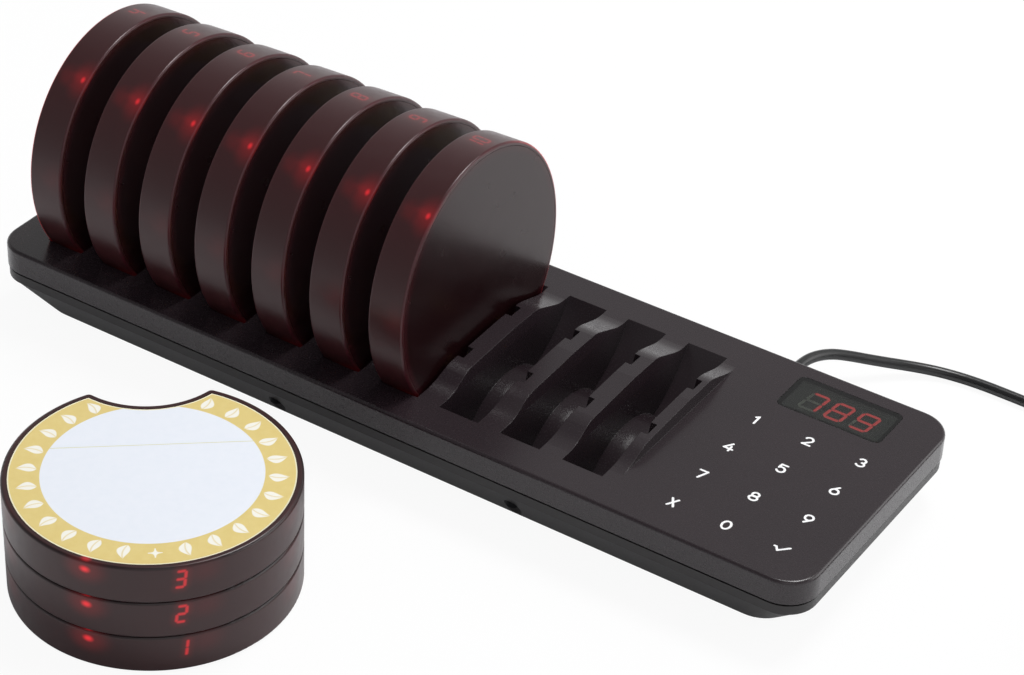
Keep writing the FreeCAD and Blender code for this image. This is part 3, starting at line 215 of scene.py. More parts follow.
def moulded(name, colour, dark, roughness):
    """Moulded ABS from a spark-eroded tool: an even satin with a fine grain, and faint clouds where
    the melt cooled at different rates. Its edges look a little broken."""
    material, tree, shader = finish_of(name, colour, roughness, IOR=1.53, Specular_IOR_Level=0.35,
                                       Coat_Weight=0.2, Coat_Roughness=0.2)
    place = add(tree, "TexCoord").outputs["Object"]
    clouds = noise(tree, place, 35 * MM, 3.0)
    tree.links.new(mixed(tree, clouds, linear(dark), linear(colour)), shader.inputs["Base Color"])
    grain = noise(tree, place, grain_size, 2.0)
    shine = ramp(tree, grain, 0.3, 0.7, roughness - 0.03, roughness + 0.03)
    tree.links.new(shine, shader.inputs["Roughness"])
    edges = add(tree, "Bevel", {"Radius": 0.25 * MM}, samples=4)
    bump = add(tree, "Bump", {"Height": grain, "Normal": edges, "Strength": 0.1, "Distance": 0.05 * MM})
    tree.links.new(bump.outputs[0], shader.inputs["Normal"])
    return material


def rubbed(name, colour, dark, roughness, mark_size, **sockets):
    """A finish with faint marks of use of one size, in metres: the colour goes a little darker in
    them, and the surface a little smoother."""
    material, tree, shader = finish_of(name, colour, roughness, **sockets)
    marks = noise(tree, add(tree, "TexCoord").outputs["Object"], mark_size, 3.0)
    tree.links.new(mixed(tree, marks, linear(dark), linear(colour)), shader.inputs["Base Color"])
    shine = ramp(tree, marks, 0.3, 0.7, roughness * 0.8, roughness * 1.2)
    tree.links.new(shine, shader.inputs["Roughness"])
    return material


dress("bottom_shell", moulded("hull_moulded_abs", "#1C1718", "#171314", 0.42))


# ---------------------------------------------------------------------------------------------
# Rubber feet
# Eight discs of black SBR rubber, pressed into recesses under the hull.

rubber, rubber_tree, rubber_shader = finish_of("foot_rubber", "#171717", 0.8, Specular_IOR_Level=0.3)
rubber_grain = noise(rubber_tree, add(rubber_tree, "TexCoord").outputs["Object"], 0.8 * MM, 4.0)
rubber_bump = add(rubber_tree, "Bump", {"Height": rubber_grain, "Strength": 0.4, "Distance": 0.08 * MM})
rubber_tree.links.new(rubber_bump.outputs[0], rubber_shader.inputs["Normal"])
dress("rubber_feet", rubber)


# ---------------------------------------------------------------------------------------------
# Boards, what stands on them, and screws
# Glass-epoxy boards with a green solder mask, under black chips, a buzzer and a white radio wire.
# Small zinc-plated screws hold them on the hull's posts, and black ones join the two shells.

mask_slack = 0.02 * MM


def board_finish(name, low, high):
    """Solder mask between two heights, in metres, with tracks 1.2 mm apart. Above and below it lies
    the black epoxy of chips and sockets."""
    material, tree, shader = finish_of(name, "#1F4A33", 0.35, IOR=1.5, Coat_Weight=0.4)
    place = add(tree, "TexCoord").outputs["Object"]
    tracks = add(tree, "TexBrick", {"Vector": place, "Scale": 1.0, "Color1": linear("#1F4A33"),
                                    "Color2": linear("#234F38"), "Mortar": linear("#3B7A57"),
                                    "Brick Width": 9.5 * MM, "Row Height": 1.2 * MM,
                                    "Mortar Size": 0.12 * MM})
    level = add(tree, "SeparateXYZ", {0: place}).outputs["Z"]
    above = calc(tree, "GREATER_THAN", level, high + mask_slack)
    below = calc(tree, "LESS_THAN", level, low - mask_slack)
    other = calc(tree, "MAXIMUM", above, below)
    tint = mixed(tree, other, tracks, linear("#1A1A1C"))
    tree.links.new(tint, shader.inputs["Base Color"])
    return material


board_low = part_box("main_board")[0].z
board_thickness, touch_thickness = 1.6 * MM, 1.5 * MM
lower_boards = board_finish("green_solder_mask", board_low, board_low + board_thickness)
dress("main_board", lower_boards)
dress("charge_board", lower_boards)
touch_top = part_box("touch_board")[1].z
dress("touch_board", board_finish("touch_solder_mask", touch_top - touch_thickness, touch_top))

piezo = rubbed("buzzer_black_nylon", "#171717", "#121212", 0.5, 1.2 * MM)
dress("buzzer", piezo)
dress("dc_jack", piezo)
wire_skin = rubbed("antenna_white_pvc", "#DDDAD2", "#CFCBC0", 0.4, 3.0 * MM)
dress("antenna", wire_skin)

zinc, zinc_tree, zinc_shader = finish_of("screw_zinc_plate", "#C3C6C9", 0.32, Metallic=1.0)
zinc_marks = noise(zinc_tree, add(zinc_tree, "TexCoord").outputs["Object"], 0.7 * MM, 3.0)
zinc_tree.links.new(ramp(zinc_tree, zinc_marks, 0.0, 1.0, 0.22, 0.45), zinc_shader.inputs["Roughness"])
dress("board_screws", zinc)
black_oxide = rubbed("screw_black_oxide", "#1F1F20", "#171718", 0.45, 0.6 * MM, Metallic=1.0)
dress("case_screws", black_oxide)


# ---------------------------------------------------------------------------------------------
# Charging springs
# Two leaves of phosphor bronze for each slot, stamped, bent and gold flashed. They stand in the slot's
# grooves and bow out to the pads of the pager.

bronze = rubbed("spring_gold_flash", "#DEBC72", "#CFA95C", 0.28, 1.5 * MM, Metallic=1.0)
dress("charge_springs", bronze)


# ---------------------------------------------------------------------------------------------
# Top shell
# Deck, side wall, slots and ribs in one moulding of charcoal ABS, with the same eroded satin as the
# hull and a window let into its right end.

dress("top_shell", moulded("deck_moulded_abs", "#292024", "#221A1E", 0.26))
deck_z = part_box("display_window")[1].z


# ---------------------------------------------------------------------------------------------
# Display
# A three-digit module of black epoxy with seven bars to a digit. Red light-emitting bars make the
# number, and the dark ones show as pale grey resin behind a smoked acrylic window.

epoxy = rubbed("display_black_epoxy", "#1B1F1C", "#171B18", 0.45, 2.0 * MM)
dress("display_module", epoxy)
acrylic, _, _ = finish_of("window_smoked_acrylic", "#7E837E", 0.08, IOR=1.49, Transmission_Weight=1.0)
dress("display_window", acrylic)

bar_lit, _, bar_lit_shader = finish_of("display_bar_red", "#B3252B", 0.5)
bar_lit_shader.inputs["Emission Color"].default_value = linear("#F04A4E")
bar_lit_shader.inputs["Emission Strength"].default_value = 1.5
bar_dark = rubbed("display_bar_grey", "#DFDFD1", "#D8D8CA", 0.5, 1.5 * MM)


def seven_bars(width, height, bar, gap):
    """The outlines of a digit's seven bars, as an array of 7 bars by 6 corners by 2.

    A bar is a hexagon along its middle line: its two tips lie on the line, a gap short of the ends,
    and its four shoulders stand half a bar in from the tips and half a bar to each side. Bars run in
    the order a to g: top, right top, right low, bottom, left low, left top, middle.
    """
    x, y = width / 2, height / 2
    ends = np.array([
        [(-x, y), (x, y)], [(x, y), (x, 0)], [(x, 0), (x, -y)], [(x, -y), (-x, -y)],
        [(-x, -y), (-x, 0)], [(-x, 0), (-x, y)], [(-x, 0), (x, 0)],
    ], float)
    along = ends[:, 1] - ends[:, 0]
    along /= np.linalg.norm(along, axis=1, keepdims=True)
    across = np.stack([-along[:, 1], along[:, 0]], axis=1) * bar / 2
    start, end = ends[:, 0] + along * gap, ends[:, 1] - along * gap
    inset = along * bar / 2
    return np.stack([start, start + inset - across, end - inset - across, end,
                     end - inset + across, start + inset + across], axis=1)


BARS_OF = {0: "abcdef", 1: "bc", 2: "abdeg", 3: "abcdg", 4: "bcfg", 5: "acdfg", 6: "acdefg", 7: "abc",
           8: "abcdefg", 9: "abcdfg"}


def solid(name, points, faces, material, body):
    """A new mesh piece of one material, which rides on a body."""
    mesh = bpy.data.meshes.new(name)
    mesh.from_pydata(points, [], faces)
    mesh.materials.append(material)
    piece = bpy.data.objects.new(name, mesh)
    bpy.context.scene.collection.objects.link(piece)
    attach(piece, body)
    return piece


def flat_pieces(name, outlines, low, high, material, body):
    """One object of many low prisms: each outline of equal point count stands between two heights.

    The points of every outline are taken at both heights; each prism has a floor, a roof and a side
    face between each point and the next.
    """
    outlines = np.asarray(outlines, float)
    count, corners = outlines.shape[:2]
    levels = [np.concatenate([outlines, np.full((count, corners, 1), level)], axis=2)
              for level in (low, high)]
    points = np.concatenate([level.reshape(-1, 3) for level in levels])
    first = (np.arange(count) * corners)[:, None]
    ring = first + np.arange(corners)
    after = first + (np.arange(corners) + 1) % corners
    lift = count * corners
    sides = np.stack([ring, after, after + lift, ring + lift], axis=2).reshape(-1, 4)
    faces = sides.tolist() + ring[:, ::-1].tolist() + (ring + lift).tolist()
    return solid(name, points.tolist(), faces, material, body)


display_low, display_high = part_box("display_module")
display_middle = (display_low + display_high) / 2
digit_width, digit_height, digit_pitch = 6.0 * MM, 9.6 * MM, 9.75 * MM
digit_slant = 0.14
bar_width, bar_gap, bar_rise = 1.05 * MM, 0.14 * MM, 0.15 * MM
bars = seven_bars(digit_width, digit_height, bar_width, bar_gap)
bars[:, :, 0] += digit_slant * bars[:, :, 1]
shown_digits = (7, 8, 9)
lit_bars, dark_bars = [], []
for place, number in enumerate(shown_digits):
    shift = np.array([display_middle.x + (place - 1) * digit_pitch, display_middle.y])
    for letter, outline in zip("abcdefg", bars + shift):
        (lit_bars if letter in BARS_OF[number] else dark_bars).append(outline)
for name, outlines, material in (("display_lit_bars", lit_bars, bar_lit),
                                 ("display_dark_bars", dark_bars, bar_dark)):
    piece = flat_pieces(name, outlines, display_high.z, display_high.z + bar_rise, material, "base")


# ---------------------------------------------------------------------------------------------
# Keypad print
# Twelve marks in white two-part ink, screen printed on the deck over the touch board's pads.

ink = rubbed("keypad_white_ink", "#F7F7F7", "#F0F0F0", 0.5, 0.8 * MM)


def arc(x, y, reach_x, reach_y, start, end, count=20):
    """Points on an ellipse about x, y between two angles in degrees, evenly spaced in angle."""
    turn = np.radians(np.linspace(start, end, count))
    return np.stack([x + reach_x * np.cos(turn), y + reach_y * np.sin(turn)], axis=1)


def stroke(path, width, low, high):
    """A pen's stroke: the path's points and tips, each with a section of four corners.

    The path is set off by half the width to each side of its own direction, at both heights. At each
    end the section moves on by half the width times the sine of an angle that goes to a right angle,
    and narrows by its cosine, which rounds the tip. A path that closes has no tips.
    """
    step = np.gradient(path, axis=0)
    turn = np.radians([84, 66, 48, 30, 15])[:, None]
    if np.allclose(path[0], path[-1]):
        step[[0, -1]] = path[1] - path[-2]
        turn = turn[:0]
    along = step / np.linalg.norm(step, axis=1, keepdims=True)
    reach = width / 2 * np.sin(turn)
    middle = np.concatenate([path[0] - reach * along[0], path, path[-1] + reach[::-1] * along[-1]])
    along = np.concatenate([np.repeat(along[:1], len(turn), 0), along,
                            np.repeat(along[-1:], len(turn), 0)])
    half = width / 2 * np.concatenate([np.cos(turn), np.ones((len(path), 1)), np.cos(turn)[::-1]])
    left = np.stack([-along[:, 1], along[:, 0]], axis=1) * half
    corners = [np.column_stack([middle + side * left, np.full(len(middle), height)])
               for side, height in ((1, low), (-1, low), (-1, high), (1, high))]
    return np.stack(corners, axis=1)


def drawn(name, strokes, material, body):
    """One object of many strokes: side faces between each section and the next, and two end faces."""
    points, faces, first = [], [], 0
    for sections in strokes:
        ring = first + np.arange(len(sections) * 4).reshape(-1, 4)
        after = np.roll(ring, -1, axis=1)
        faces += np.stack([ring[:-1], ring[1:], after[1:], after[:-1]], axis=2).reshape(-1, 4).tolist()
        faces += [ring[0].tolist(), ring[-1, ::-1].tolist()]
        points += sections.reshape(-1, 3).tolist()
        first = len(points)
    return solid(name, points, faces, material, body)


def line(start, end):
    """Eight points along the straight run between two points."""
    return np.linspace(start, end, 8)


# Each mark is drawn one unit high about its middle
MARKS = {
    "0": [arc(0, 0, 0.31, 0.45, 90, 450, 40)],
    "1": [line((-0.17, 0.30), (0.03, 0.45)), line((0.03, 0.45), (0.03, -0.45))],
    "2": [np.concatenate([arc(0.0, 0.18, 0.28, 0.27, 165, -35), line((0.20, 0.0), (-0.29, -0.45))]),
          line((-0.29, -0.45), (0.31, -0.45))],
    "3": [arc(-0.01, 0.22, 0.25, 0.23, 150, -80), arc(-0.01, -0.21, 0.30, 0.24, 80, -155)],
    "4": [line((0.10, 0.45), (-0.33, -0.20)), line((-0.33, -0.20), (0.34, -0.20)),
          line((0.14, 0.10), (0.14, -0.45))],
    "5": [line((0.26, 0.45), (-0.20, 0.45)), line((-0.20, 0.45), (-0.25, 0.06)),
          arc(-0.01, -0.15, 0.30, 0.30, 140, -150)],
    "6": [arc(0.0, -0.15, 0.30, 0.30, 0, 360, 36), line((-0.27, -0.03), (0.13, 0.46))],
    "7": [line((-0.30, 0.45), (0.30, 0.45)), line((0.30, 0.45), (-0.08, -0.45))],
    "8": [arc(0, 0.22, 0.25, 0.23, 0, 360, 32), arc(0, -0.21, 0.31, 0.25, 0, 360, 36)],
    "9": [arc(0.0, 0.15, 0.30, 0.30, 0, 360, 36), line((0.27, 0.03), (-0.13, -0.46))],
    "cross": [line((-0.25, 0.43), (0.25, -0.43)), line((-0.25, -0.43), (0.25, 0.43))],
    "tick": [line((-0.48, 0.03), (-0.34, 0.03)), line((-0.34, 0.03), (-0.10, -0.32)),
             line((-0.10, -0.32), (0.56, 0.38))],
}
KEYS = (("1", "2", "3"), ("4", "5", "6"), ("7", "8", "9"), ("cross", "0", "tick"))
key_pitch_x, key_pitch_y = 20.0 * MM, 18.45 * MM
key_height, key_line = 4.7 * MM, 0.8 * MM
ink_rise, ink_step = 0.04 * MM, 0.01 * MM
keys_from_digits = 22.25 * MM
first_key_y = display_middle.y - keys_from_digits
for row, marks in enumerate(KEYS):
    for column, mark in enumerate(marks):
        middle = np.array([display_middle.x + (column - 1) * key_pitch_x,
                           first_key_y - row * key_pitch_y])
        # Ink lies a little thicker where strokes cross, so each is drawn higher than the one before
        strokes = [stroke(path * key_height + middle, key_line, deck_z,
                          deck_z + ink_rise + layer * ink_step)
                   for layer, path in enumerate(MARKS[mark])]
        drawn("key_" + mark, strokes, ink, "base")


# ---------------------------------------------------------------------------------------------
# Lead
# A 4 mm black PVC lead with a moulded plug. It drops from the back of the base to the table; the length
# that isn't needed is wound in a tied coil, and the mains adapter lies beside it.

# The route in millimetres: from the plug to the table and the coil, round it, and on to the adapter
lead_points = [(97.3, 136.3, 12.2), (97.3, 142.8, 12.2), (99.2, 149.4, 12.0), (102.8, 155.3, 11.1),
               (107.8, 160.2, 9.4), (113.2, 164.8, 7.5), (118.8, 169.7, 5.6), (125.0, 174.7, 3.9),
               (132.5, 179.1, 2.6), (141.0, 181.6, 2.0), (150.5, 182.4, 2.0), (161.0, 182.3, 2.0),
               (172.0, 182.1, 2.0), (183.0, 181.8, 2.0), (195.0, 181.9, 2.0), (207.0, 182.2, 2.0),
               (218.0, 183.4, 2.0), (229.0, 185.2, 2.0)]
coil_middle = np.array([240.0, 159.9])
coil_radius = 22.0
lead_diameter = 4.0
# Where each turn lies in the coil's section, in millimetres: outwards from the middle line, and up
turn_spots = np.array([(4.0, 2.0), (0.0, 2.0), (-4.0, 2.0), (-2.0, 5.5), (2.0, 5.5), (0.0, 9.0),
                       (4.0, 9.0), (4.0, 9.0)])
points_per_turn = 16
turns = 7.25
turn_share = np.arange(1, int(turns * points_per_turn) + 1) / points_per_turn
spot = np.minimum(turn_share.astype(int), len(turn_spots) - 2)
# Each turn crosses to the next one's spot over this part of its round
cross_start, cross_length = 0.55, 0.4
ease = np.clip((turn_share - spot - cross_start) / cross_length, 0, 1)[:, None]
section = turn_spots[spot] * (1 - ease) + turn_spots[spot + 1] * ease
sweep = np.pi / 2 - 2 * np.pi * turn_share
wide = (coil_radius + section[:, 0]) / math.cos(math.pi / points_per_turn)
coil_points = np.stack([coil_middle[0] + wide * np.cos(sweep), coil_middle[1] + wide * np.sin(sweep),
                        section[:, 1]], axis=1)
end_points = [(265.2, 151.0, 8.6), (263.4, 144.0, 7.0), (262.2, 139.5, 5.8), (262.0, 135.9, 5.5)]
route = np.concatenate([lead_points, coil_points, end_points]) * MM

lead_curve = bpy.data.curves.new("lead", "CURVE")
lead_curve.dimensions = "3D"
lead_line = lead_curve.splines.new("NURBS")
lead_line.points.add(len(route) - 1)
lead_line.points.foreach_set("co", np.column_stack([route, np.ones(len(route))]).ravel())
lead_line.order_u = 3
lead_line.use_endpoint_u = True
lead_curve.bevel_depth = lead_diameter / 2 * MM
lead_curve.bevel_resolution = 5
lead_curve.resolution_u = 6
lead_curve.use_fill_caps = True
lead = bpy.data.objects.new("lead", lead_curve)
bpy.context.scene.collection.objects.link(lead)

pvc, pvc_tree, pvc_shader = finish_of("lead_black_pvc", "#151516", 0.3, IOR=1.53)
pvc_marks = noise(pvc_tree, add(pvc_tree, "TexCoord").outputs["Object"], 1.5 * MM, 3.0)
pvc_tree.links.new(ramp(pvc_tree, pvc_marks, 0.0, 1.0, 0.24, 0.4), pvc_shader.inputs["Roughness"])
lead_curve.materials.append(pvc)
dress("dc_plug", pvc)
nylon = rubbed("tie_black_nylon", "#141414", "#101010", 0.55, 0.8 * MM)
dress("coil_tie", nylon)
dress("power_adapter", moulded("adapter_moulded_abs", "#1D1D1E", "#19191A", 0.45))
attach(lead, "base")
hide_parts("cord", "cord_coil")


# ---------------------------------------------------------------------------------------------
# Pagers: cases
# Ten round pagers, three in a stack in front of the base and seven on edge in its slots. Each case is a
# cup of smoked polycarbonate, polished, with a half-round notch. It is so dark that it looks brown. The
# red light its rounded edges pass is painted into their colour, and in the stack they are painted darker
# for the shade in the seams. The lamps and the number on the board are painted as red light glowing on
# its rim.

pager_radius, pager_thickness, pager_round = 48.5 * MM, 14.0 * MM, 1.0 * MM
stack_place = Vector((-24.2, -73.2, 0.0)) * MM
stack_turn = math.radians(39.8)
dock_lean = math.radians(2.0)
lamp_angle, lamp_step = math.radians(238 - 360), math.radians(45)
number_angle = math.radians(279 - 360)
digit_half_width, digit_half_height, figure_pitch = 1.45 * MM, 3.1 * MM, 4.8 * MM
# The painted colour of a rounded edge, red light on a docked pager and seam shade in the stack,
# starts this far inside a face or the rim, and is full at the second
face_start, face_full, rim_start, rim_full = 1.0 * MM, 0.4 * MM, 0.9 * MM, 0.5 * MM
red_start, red_full = 12 * MM, 40 * MM


def pager_stand(number):
    """A pager's place and turn: the middle of its lid, and the angles of its own axes.

    In the stack its face is up. In a slot its X is the base's Y, its Y, with the notch, points down,
    and its Z, from lid to face, points left; then it leans back about Y. The middle is worked out from
    the case's box: the far corner of a leaning disc with rounded edges is its radius less the round,
    along the lean, plus half its thickness less the round, across it, plus the round.
    """
    if number <= 3:
        turn = Euler((0, 0, stack_turn))
        return stack_place + Vector((0, 0, (number - 1) * pager_thickness)), turn
    low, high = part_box("pager_%d_case" % number)
    flat, half = pager_radius - pager_round, pager_thickness / 2 - pager_round
    cosine, sine = math.cos(dock_lean), math.sin(dock_lean)
    middle = Vector((low.x + half * cosine + flat * sine + pager_round, (low.y + high.y) / 2,
                     high.z - (flat * cosine + half * sine + pager_round)))
    axes = Matrix(((0, 0, -1), (1, 0, 0), (0, -1, 0)))
    turn = (Matrix.Rotation(-dock_lean, 3, "Y") @ axes).to_euler()
    return middle + pager_thickness / 2 * Vector((cosine, 0, sine)), turn


def length_of(tree, vector):
    """The length of a vector."""
    return add(tree, "VectorMath", {0: vector}, operation="LENGTH").outputs["Value"]


def pager_space(tree, number):
    """Nodes that turn Object coordinates into the pager's own, and give its height above the lid, the
    distance from its middle line, and the angle round it."""
    place, turn = pager_stand(number)
    own = add(tree, "Mapping", {"Vector": add(tree, "TexCoord").outputs["Object"], "Location": place,
                                "Rotation": turn}, vector_type="TEXTURE")
    parts = add(tree, "SeparateXYZ", {0: own})
    out = length_of(tree, add(tree, "VectorMath", {0: own, 1: (1, 1, 0)}, operation="MULTIPLY"))
    angle = calc(tree, "ARCTAN2", parts.outputs["Y"], parts.outputs["X"])
    return own, parts.outputs["Z"], out, angle


def number_bars(number):
    """The middle and half length of each lit bar of a pager's number, in metres on its rim.

    A digit's bars lie on the two sides, the top, the middle and the foot of its box, and the digits of
    a two-figure number stand side by side.
    """
    wide, high = digit_half_width, digit_half_height
    spots = {"a": (0, high, wide, 0), "b": (wide, high / 2, 0, high / 2),
             "c": (wide, -high / 2, 0, high / 2), "d": (0, -high, wide, 0),
             "e": (-wide, -high / 2, 0, high / 2), "f": (-wide, high / 2, 0, high / 2),
             "g": (0, 0, wide, 0)}
    figures = [int(figure) for figure in str(number)]
    bars = []
    for place, figure in enumerate(figures):
        shift = (place - (len(figures) - 1) / 2) * figure_pitch
        bars += [(spots[letter][0] + shift, *spots[letter][1:]) for letter in BARS_OF[figure]]
    return bars


def fade(tree, distance, near, far, level):
    """Light of a level that falls smoothly to nothing between two distances."""
    return ramp(tree, distance, near, far, level, 0.0, "SMOOTHSTEP")


def rim_glow(tree, number, own, height, out, angle):
    """Painted red light on the rim: the number, one bright lamp and the faint ones a step apart.

    The rim is unrolled: across is the angle times the radius, and up is the height. A bar's distance
    is that from a point to its middle line, and the number glows where the least of them is small. A
    lamp glows by its own distance, and the angle is wrapped so that one lamp stands for the ring.
    """
    docked = number > 3
    number_height, number_level = (7.0 * MM, 0.22) if docked else (9.0 * MM, 0.6)
    number_lean, bar_end, bar_reach, blur_reach, blur_level = 0.12, 0.6 * MM, 0.85 * MM, 3.0 * MM, 0.1
    sharp = 0.1 * MM
    across = calc(tree, "MULTIPLY", calc(tree, "ADD", angle, -number_angle), pager_radius)
    level = calc(tree, "ADD", height, -number_height)
    across = calc(tree, "MULTIPLY_ADD", level, -number_lean, across)
    rim = add(tree, "CombineXYZ", {"X": across, "Y": level})
    nearest = None
    for x, y, half_x, half_y in number_bars(number):
        away = add(tree, "VectorMath", {0: rim, 1: (x, y, 0)}, operation="SUBTRACT")
        away = add(tree, "VectorMath", {0: away}, operation="ABSOLUTE")
        half = (max(half_x - bar_end, 0), max(half_y - bar_end, 0), 0)
        past = add(tree, "VectorMath", {0: away, 1: half}, operation="SUBTRACT")
        past = add(tree, "VectorMath", {0: past, 1: (0, 0, 0)}, operation="MAXIMUM")
        away = length_of(tree, past)
        nearest = away if nearest is None else calc(tree, "MINIMUM", nearest, away)
    shape = calc(tree, "ADD", fade(tree, nearest, sharp, bar_reach, 1.0),
                 fade(tree, nearest, 0.0, blur_reach, blur_level))
    shape = calc(tree, "MULTIPLY", shape, number_level)

    # The lamps stand 9.5 mm inside the rim, so they are seen a little to one side of their own angle
    seen_at = lamp_angle + math.radians(-5.2 if docked else 5.2)
    lamp_height = (2.2 if docked else 10.8) * MM
    core_reach, core_level = (1.25 * MM, 0.6) if docked else (1.8 * MM, 0.9)
    lamp_stretch, halo_reach, halo_level, faint_share = 1.4, 7.0 * MM, 0.1, 0.12 if docked else 0.3
    round_lamp = calc(tree, "ADD", angle, -seen_at)
    wrapped = calc(tree, "WRAP", round_lamp, lamp_step / 2, -lamp_step / 2)
    lamp_across = calc(tree, "MULTIPLY", wrapped, pager_radius / lamp_stretch)
    lamp_level = calc(tree, "ADD", height, -lamp_height)
    lamp_away = length_of(tree, add(tree, "CombineXYZ", {"X": lamp_across, "Y": lamp_level}))
    bright = calc(tree, "LESS_THAN", calc(tree, "ABSOLUTE", round_lamp), lamp_step / 2)
    faint = ramp(tree, bright, 0.0, 1.0, faint_share, 1.0)
    core = calc(tree, "MULTIPLY", fade(tree, lamp_away, sharp, core_reach, core_level), bright)
    halo = calc(tree, "MULTIPLY", fade(tree, lamp_away, 0.0, halo_reach, halo_level), faint)
    both = calc(tree, "ADD", shape, calc(tree, "ADD", core, halo))
    on_rim = calc(tree, "GREATER_THAN", out, pager_radius - 1.2 * MM)
    both = calc(tree, "MULTIPLY", both, on_rim)
    if docked:
        # A cloud of light spreads over the rim beside the lamp, uneven as the moulding is
        cloud_reach, cloud_light, cloud_flatness, cloud_height = 4.2 * MM, 0.11, 0.4, 5.5 * MM
        cloud_level = calc(tree, "MULTIPLY_ADD", height, cloud_flatness, -cloud_flatness * cloud_height)
        cloud_away = length_of(tree, add(tree, "CombineXYZ", {"X": lamp_across, "Y": cloud_level}))
        cloud = fade(tree, cloud_away, 0.0, cloud_reach, cloud_light)
        patches = ramp(tree, noise(tree, own, 6 * MM, 1.0), 0.35, 0.65, 0.25, 1.0)
        for share in (patches, faint, on_rim):
            cloud = calc(tree, "MULTIPLY", cloud, share)
        return calc(tree, "ADD", both, cloud)
    # The flat ring round the label shows the lamp once more, as painted glow
    ring_middle, ring_near, ring_far, ring_light = 47.0 * MM, 0.2 * MM, 2.6 * MM, 0.5
    ring_level = calc(tree, "MULTIPLY_ADD", out, lamp_stretch, -lamp_stretch * ring_middle)
    ring_across = calc(tree, "MULTIPLY", round_lamp, pager_radius)
    ring_away = length_of(tree, add(tree, "CombineXYZ", {"X": ring_across, "Y": ring_level}))
    on_ring = calc(tree, "GREATER_THAN", height, pager_thickness - 0.3 * MM)
    ring = calc(tree, "MULTIPLY", fade(tree, ring_away, ring_near, ring_far, ring_light), on_ring)
    return calc(tree, "ADD", both, ring)


for number in range(1, 11):
    docked = number > 3
    # One polycarbonate: the docked and stacked browns differ only as painted light and shade
    brown_dark, brown_light, edge_red_light_seam_shade = (("#321315", "#3C191C", "#3C0C15") if docked
                                          else ("#2C1213", "#361719", "#1E0D10"))
    smoke, tree, shader = finish_of("pager_%d_smoked_polycarbonate" % number, brown_dark, 0.3, IOR=1.58,
                                    Specular_IOR_Level=0.36)
    own, height, out, angle = pager_space(tree, number)
    # The moulding's slow swirls, and rub marks a few millimetres across
    brown = mixed(tree, noise(tree, own, 28 * MM, 2.0), linear(brown_dark), linear(brown_light))
    # Rounded edges: painted red light on docked pagers, painted seam shade on stacked ones
    top_edge = ramp(tree, height, pager_thickness - face_start, pager_thickness - face_full)
    low_edge = ramp(tree, height, face_start, face_full)
    outer = ramp(tree, out, pager_radius - rim_start, pager_radius - rim_full)
    edge = calc(tree, "MULTIPLY", calc(tree, "MAXIMUM", top_edge, low_edge), outer)
    tree.links.new(mixed(tree, edge, brown, linear(edge_red_light_seam_shade)), shader.inputs["Base Color"])
    rubs = noise(tree, own, 4 * MM, 2.0)
    tree.links.new(ramp(tree, rubs, 0.35, 0.75, 0.3, 0.36), shader.inputs["Roughness"])
    glow = rim_glow(tree, number, own, height, out, angle)
    if number in (4, 10):
        # The end pagers stand before the pale room, which shines red through their far edges: painted as
        # glow, stronger where the edge is seen aslant
        far_edge = calc(tree, "MULTIPLY", top_edge if number == 4 else low_edge, outer)
        aslant = add(tree, "LayerWeight", {"Blend": 0.5}).outputs["Facing"]
        aslant = ramp(tree, aslant, 0.35, 0.85, 0.0, 0.8)
        if number == 10:
            # The last pager's edge is red on its back half only
            away_side = ramp(tree, add(tree, "SeparateXYZ", {0: own}).outputs["X"], red_start, red_full)
            aslant = calc(tree, "MULTIPLY", aslant, away_side)
        glow = calc(tree, "ADD", glow, calc(tree, "MULTIPLY", far_edge, aslant))
    shader.inputs["Emission Color"].default_value = linear("#E3222B")
    tree.links.new(glow, shader.inputs["Emission Strength"])
    dress("pager_%d_case" % number, smoke)


# ---------------------------------------------------------------------------------------------
# Pagers: lids
# Each back is a flat disc of the same polycarbonate with a fine matt side out, snapped in the case and
# bonded. Two gold-plated pads show through its windows.

lid_radius, red_reach = 47.0 * MM, 3 * MM
lid_dark, lid_light, lid_red = "#19080A", "#200B0D", "#331015"
for number in range(1, 11):
    matt, tree, shader = finish_of("pager_%d_lid_polycarbonate" % number, lid_dark, 0.26, IOR=1.58,
                                   Specular_IOR_Level=0.28, Specular_Tint=linear("#FFEFEF"))
    own, _, out, _ = pager_space(tree, number)
    brown = mixed(tree, noise(tree, own, 30 * MM, 2.0), linear(lid_dark), linear(lid_light))
    # Red light from the edge of the case reaches a few millimetres into the lid
    red_in = ramp(tree, out, lid_radius - red_reach, lid_radius, kind="SMOOTHSTEP")
    tree.links.new(mixed(tree, red_in, brown, linear(lid_red)), shader.inputs["Base Color"])
    rubs = noise(tree, own, 9 * MM, 2.0)
    tree.links.new(ramp(tree, rubs, 0.35, 0.75, 0.24, 0.28), shader.inputs["Roughness"])
    dress("pager_%d_lid" % number, matt)


# ---------------------------------------------------------------------------------------------
# Pagers: labels
# A disc of coated paper, printed and laminated, glued in the recess of the face: a yellow border with a
# ring of white leaves round a pale centre, which carries one fine rule.

label_radius, notch_middle, notch_edge = 46.25 * MM, 64.6 * MM, 30.75 * MM
cut_width, rule_half, star_reach = 0.45 * MM, 0.17 * MM, 2.3 * MM
border_radius, border_blur, leaf_radius, leaf_places = 36.0 * MM, 0.1 * MM, 40.6 * MM, 26
leaf_reach, leaf_width, rule_place = 3.6 * MM, 2.6 * MM, 14.7 * MM
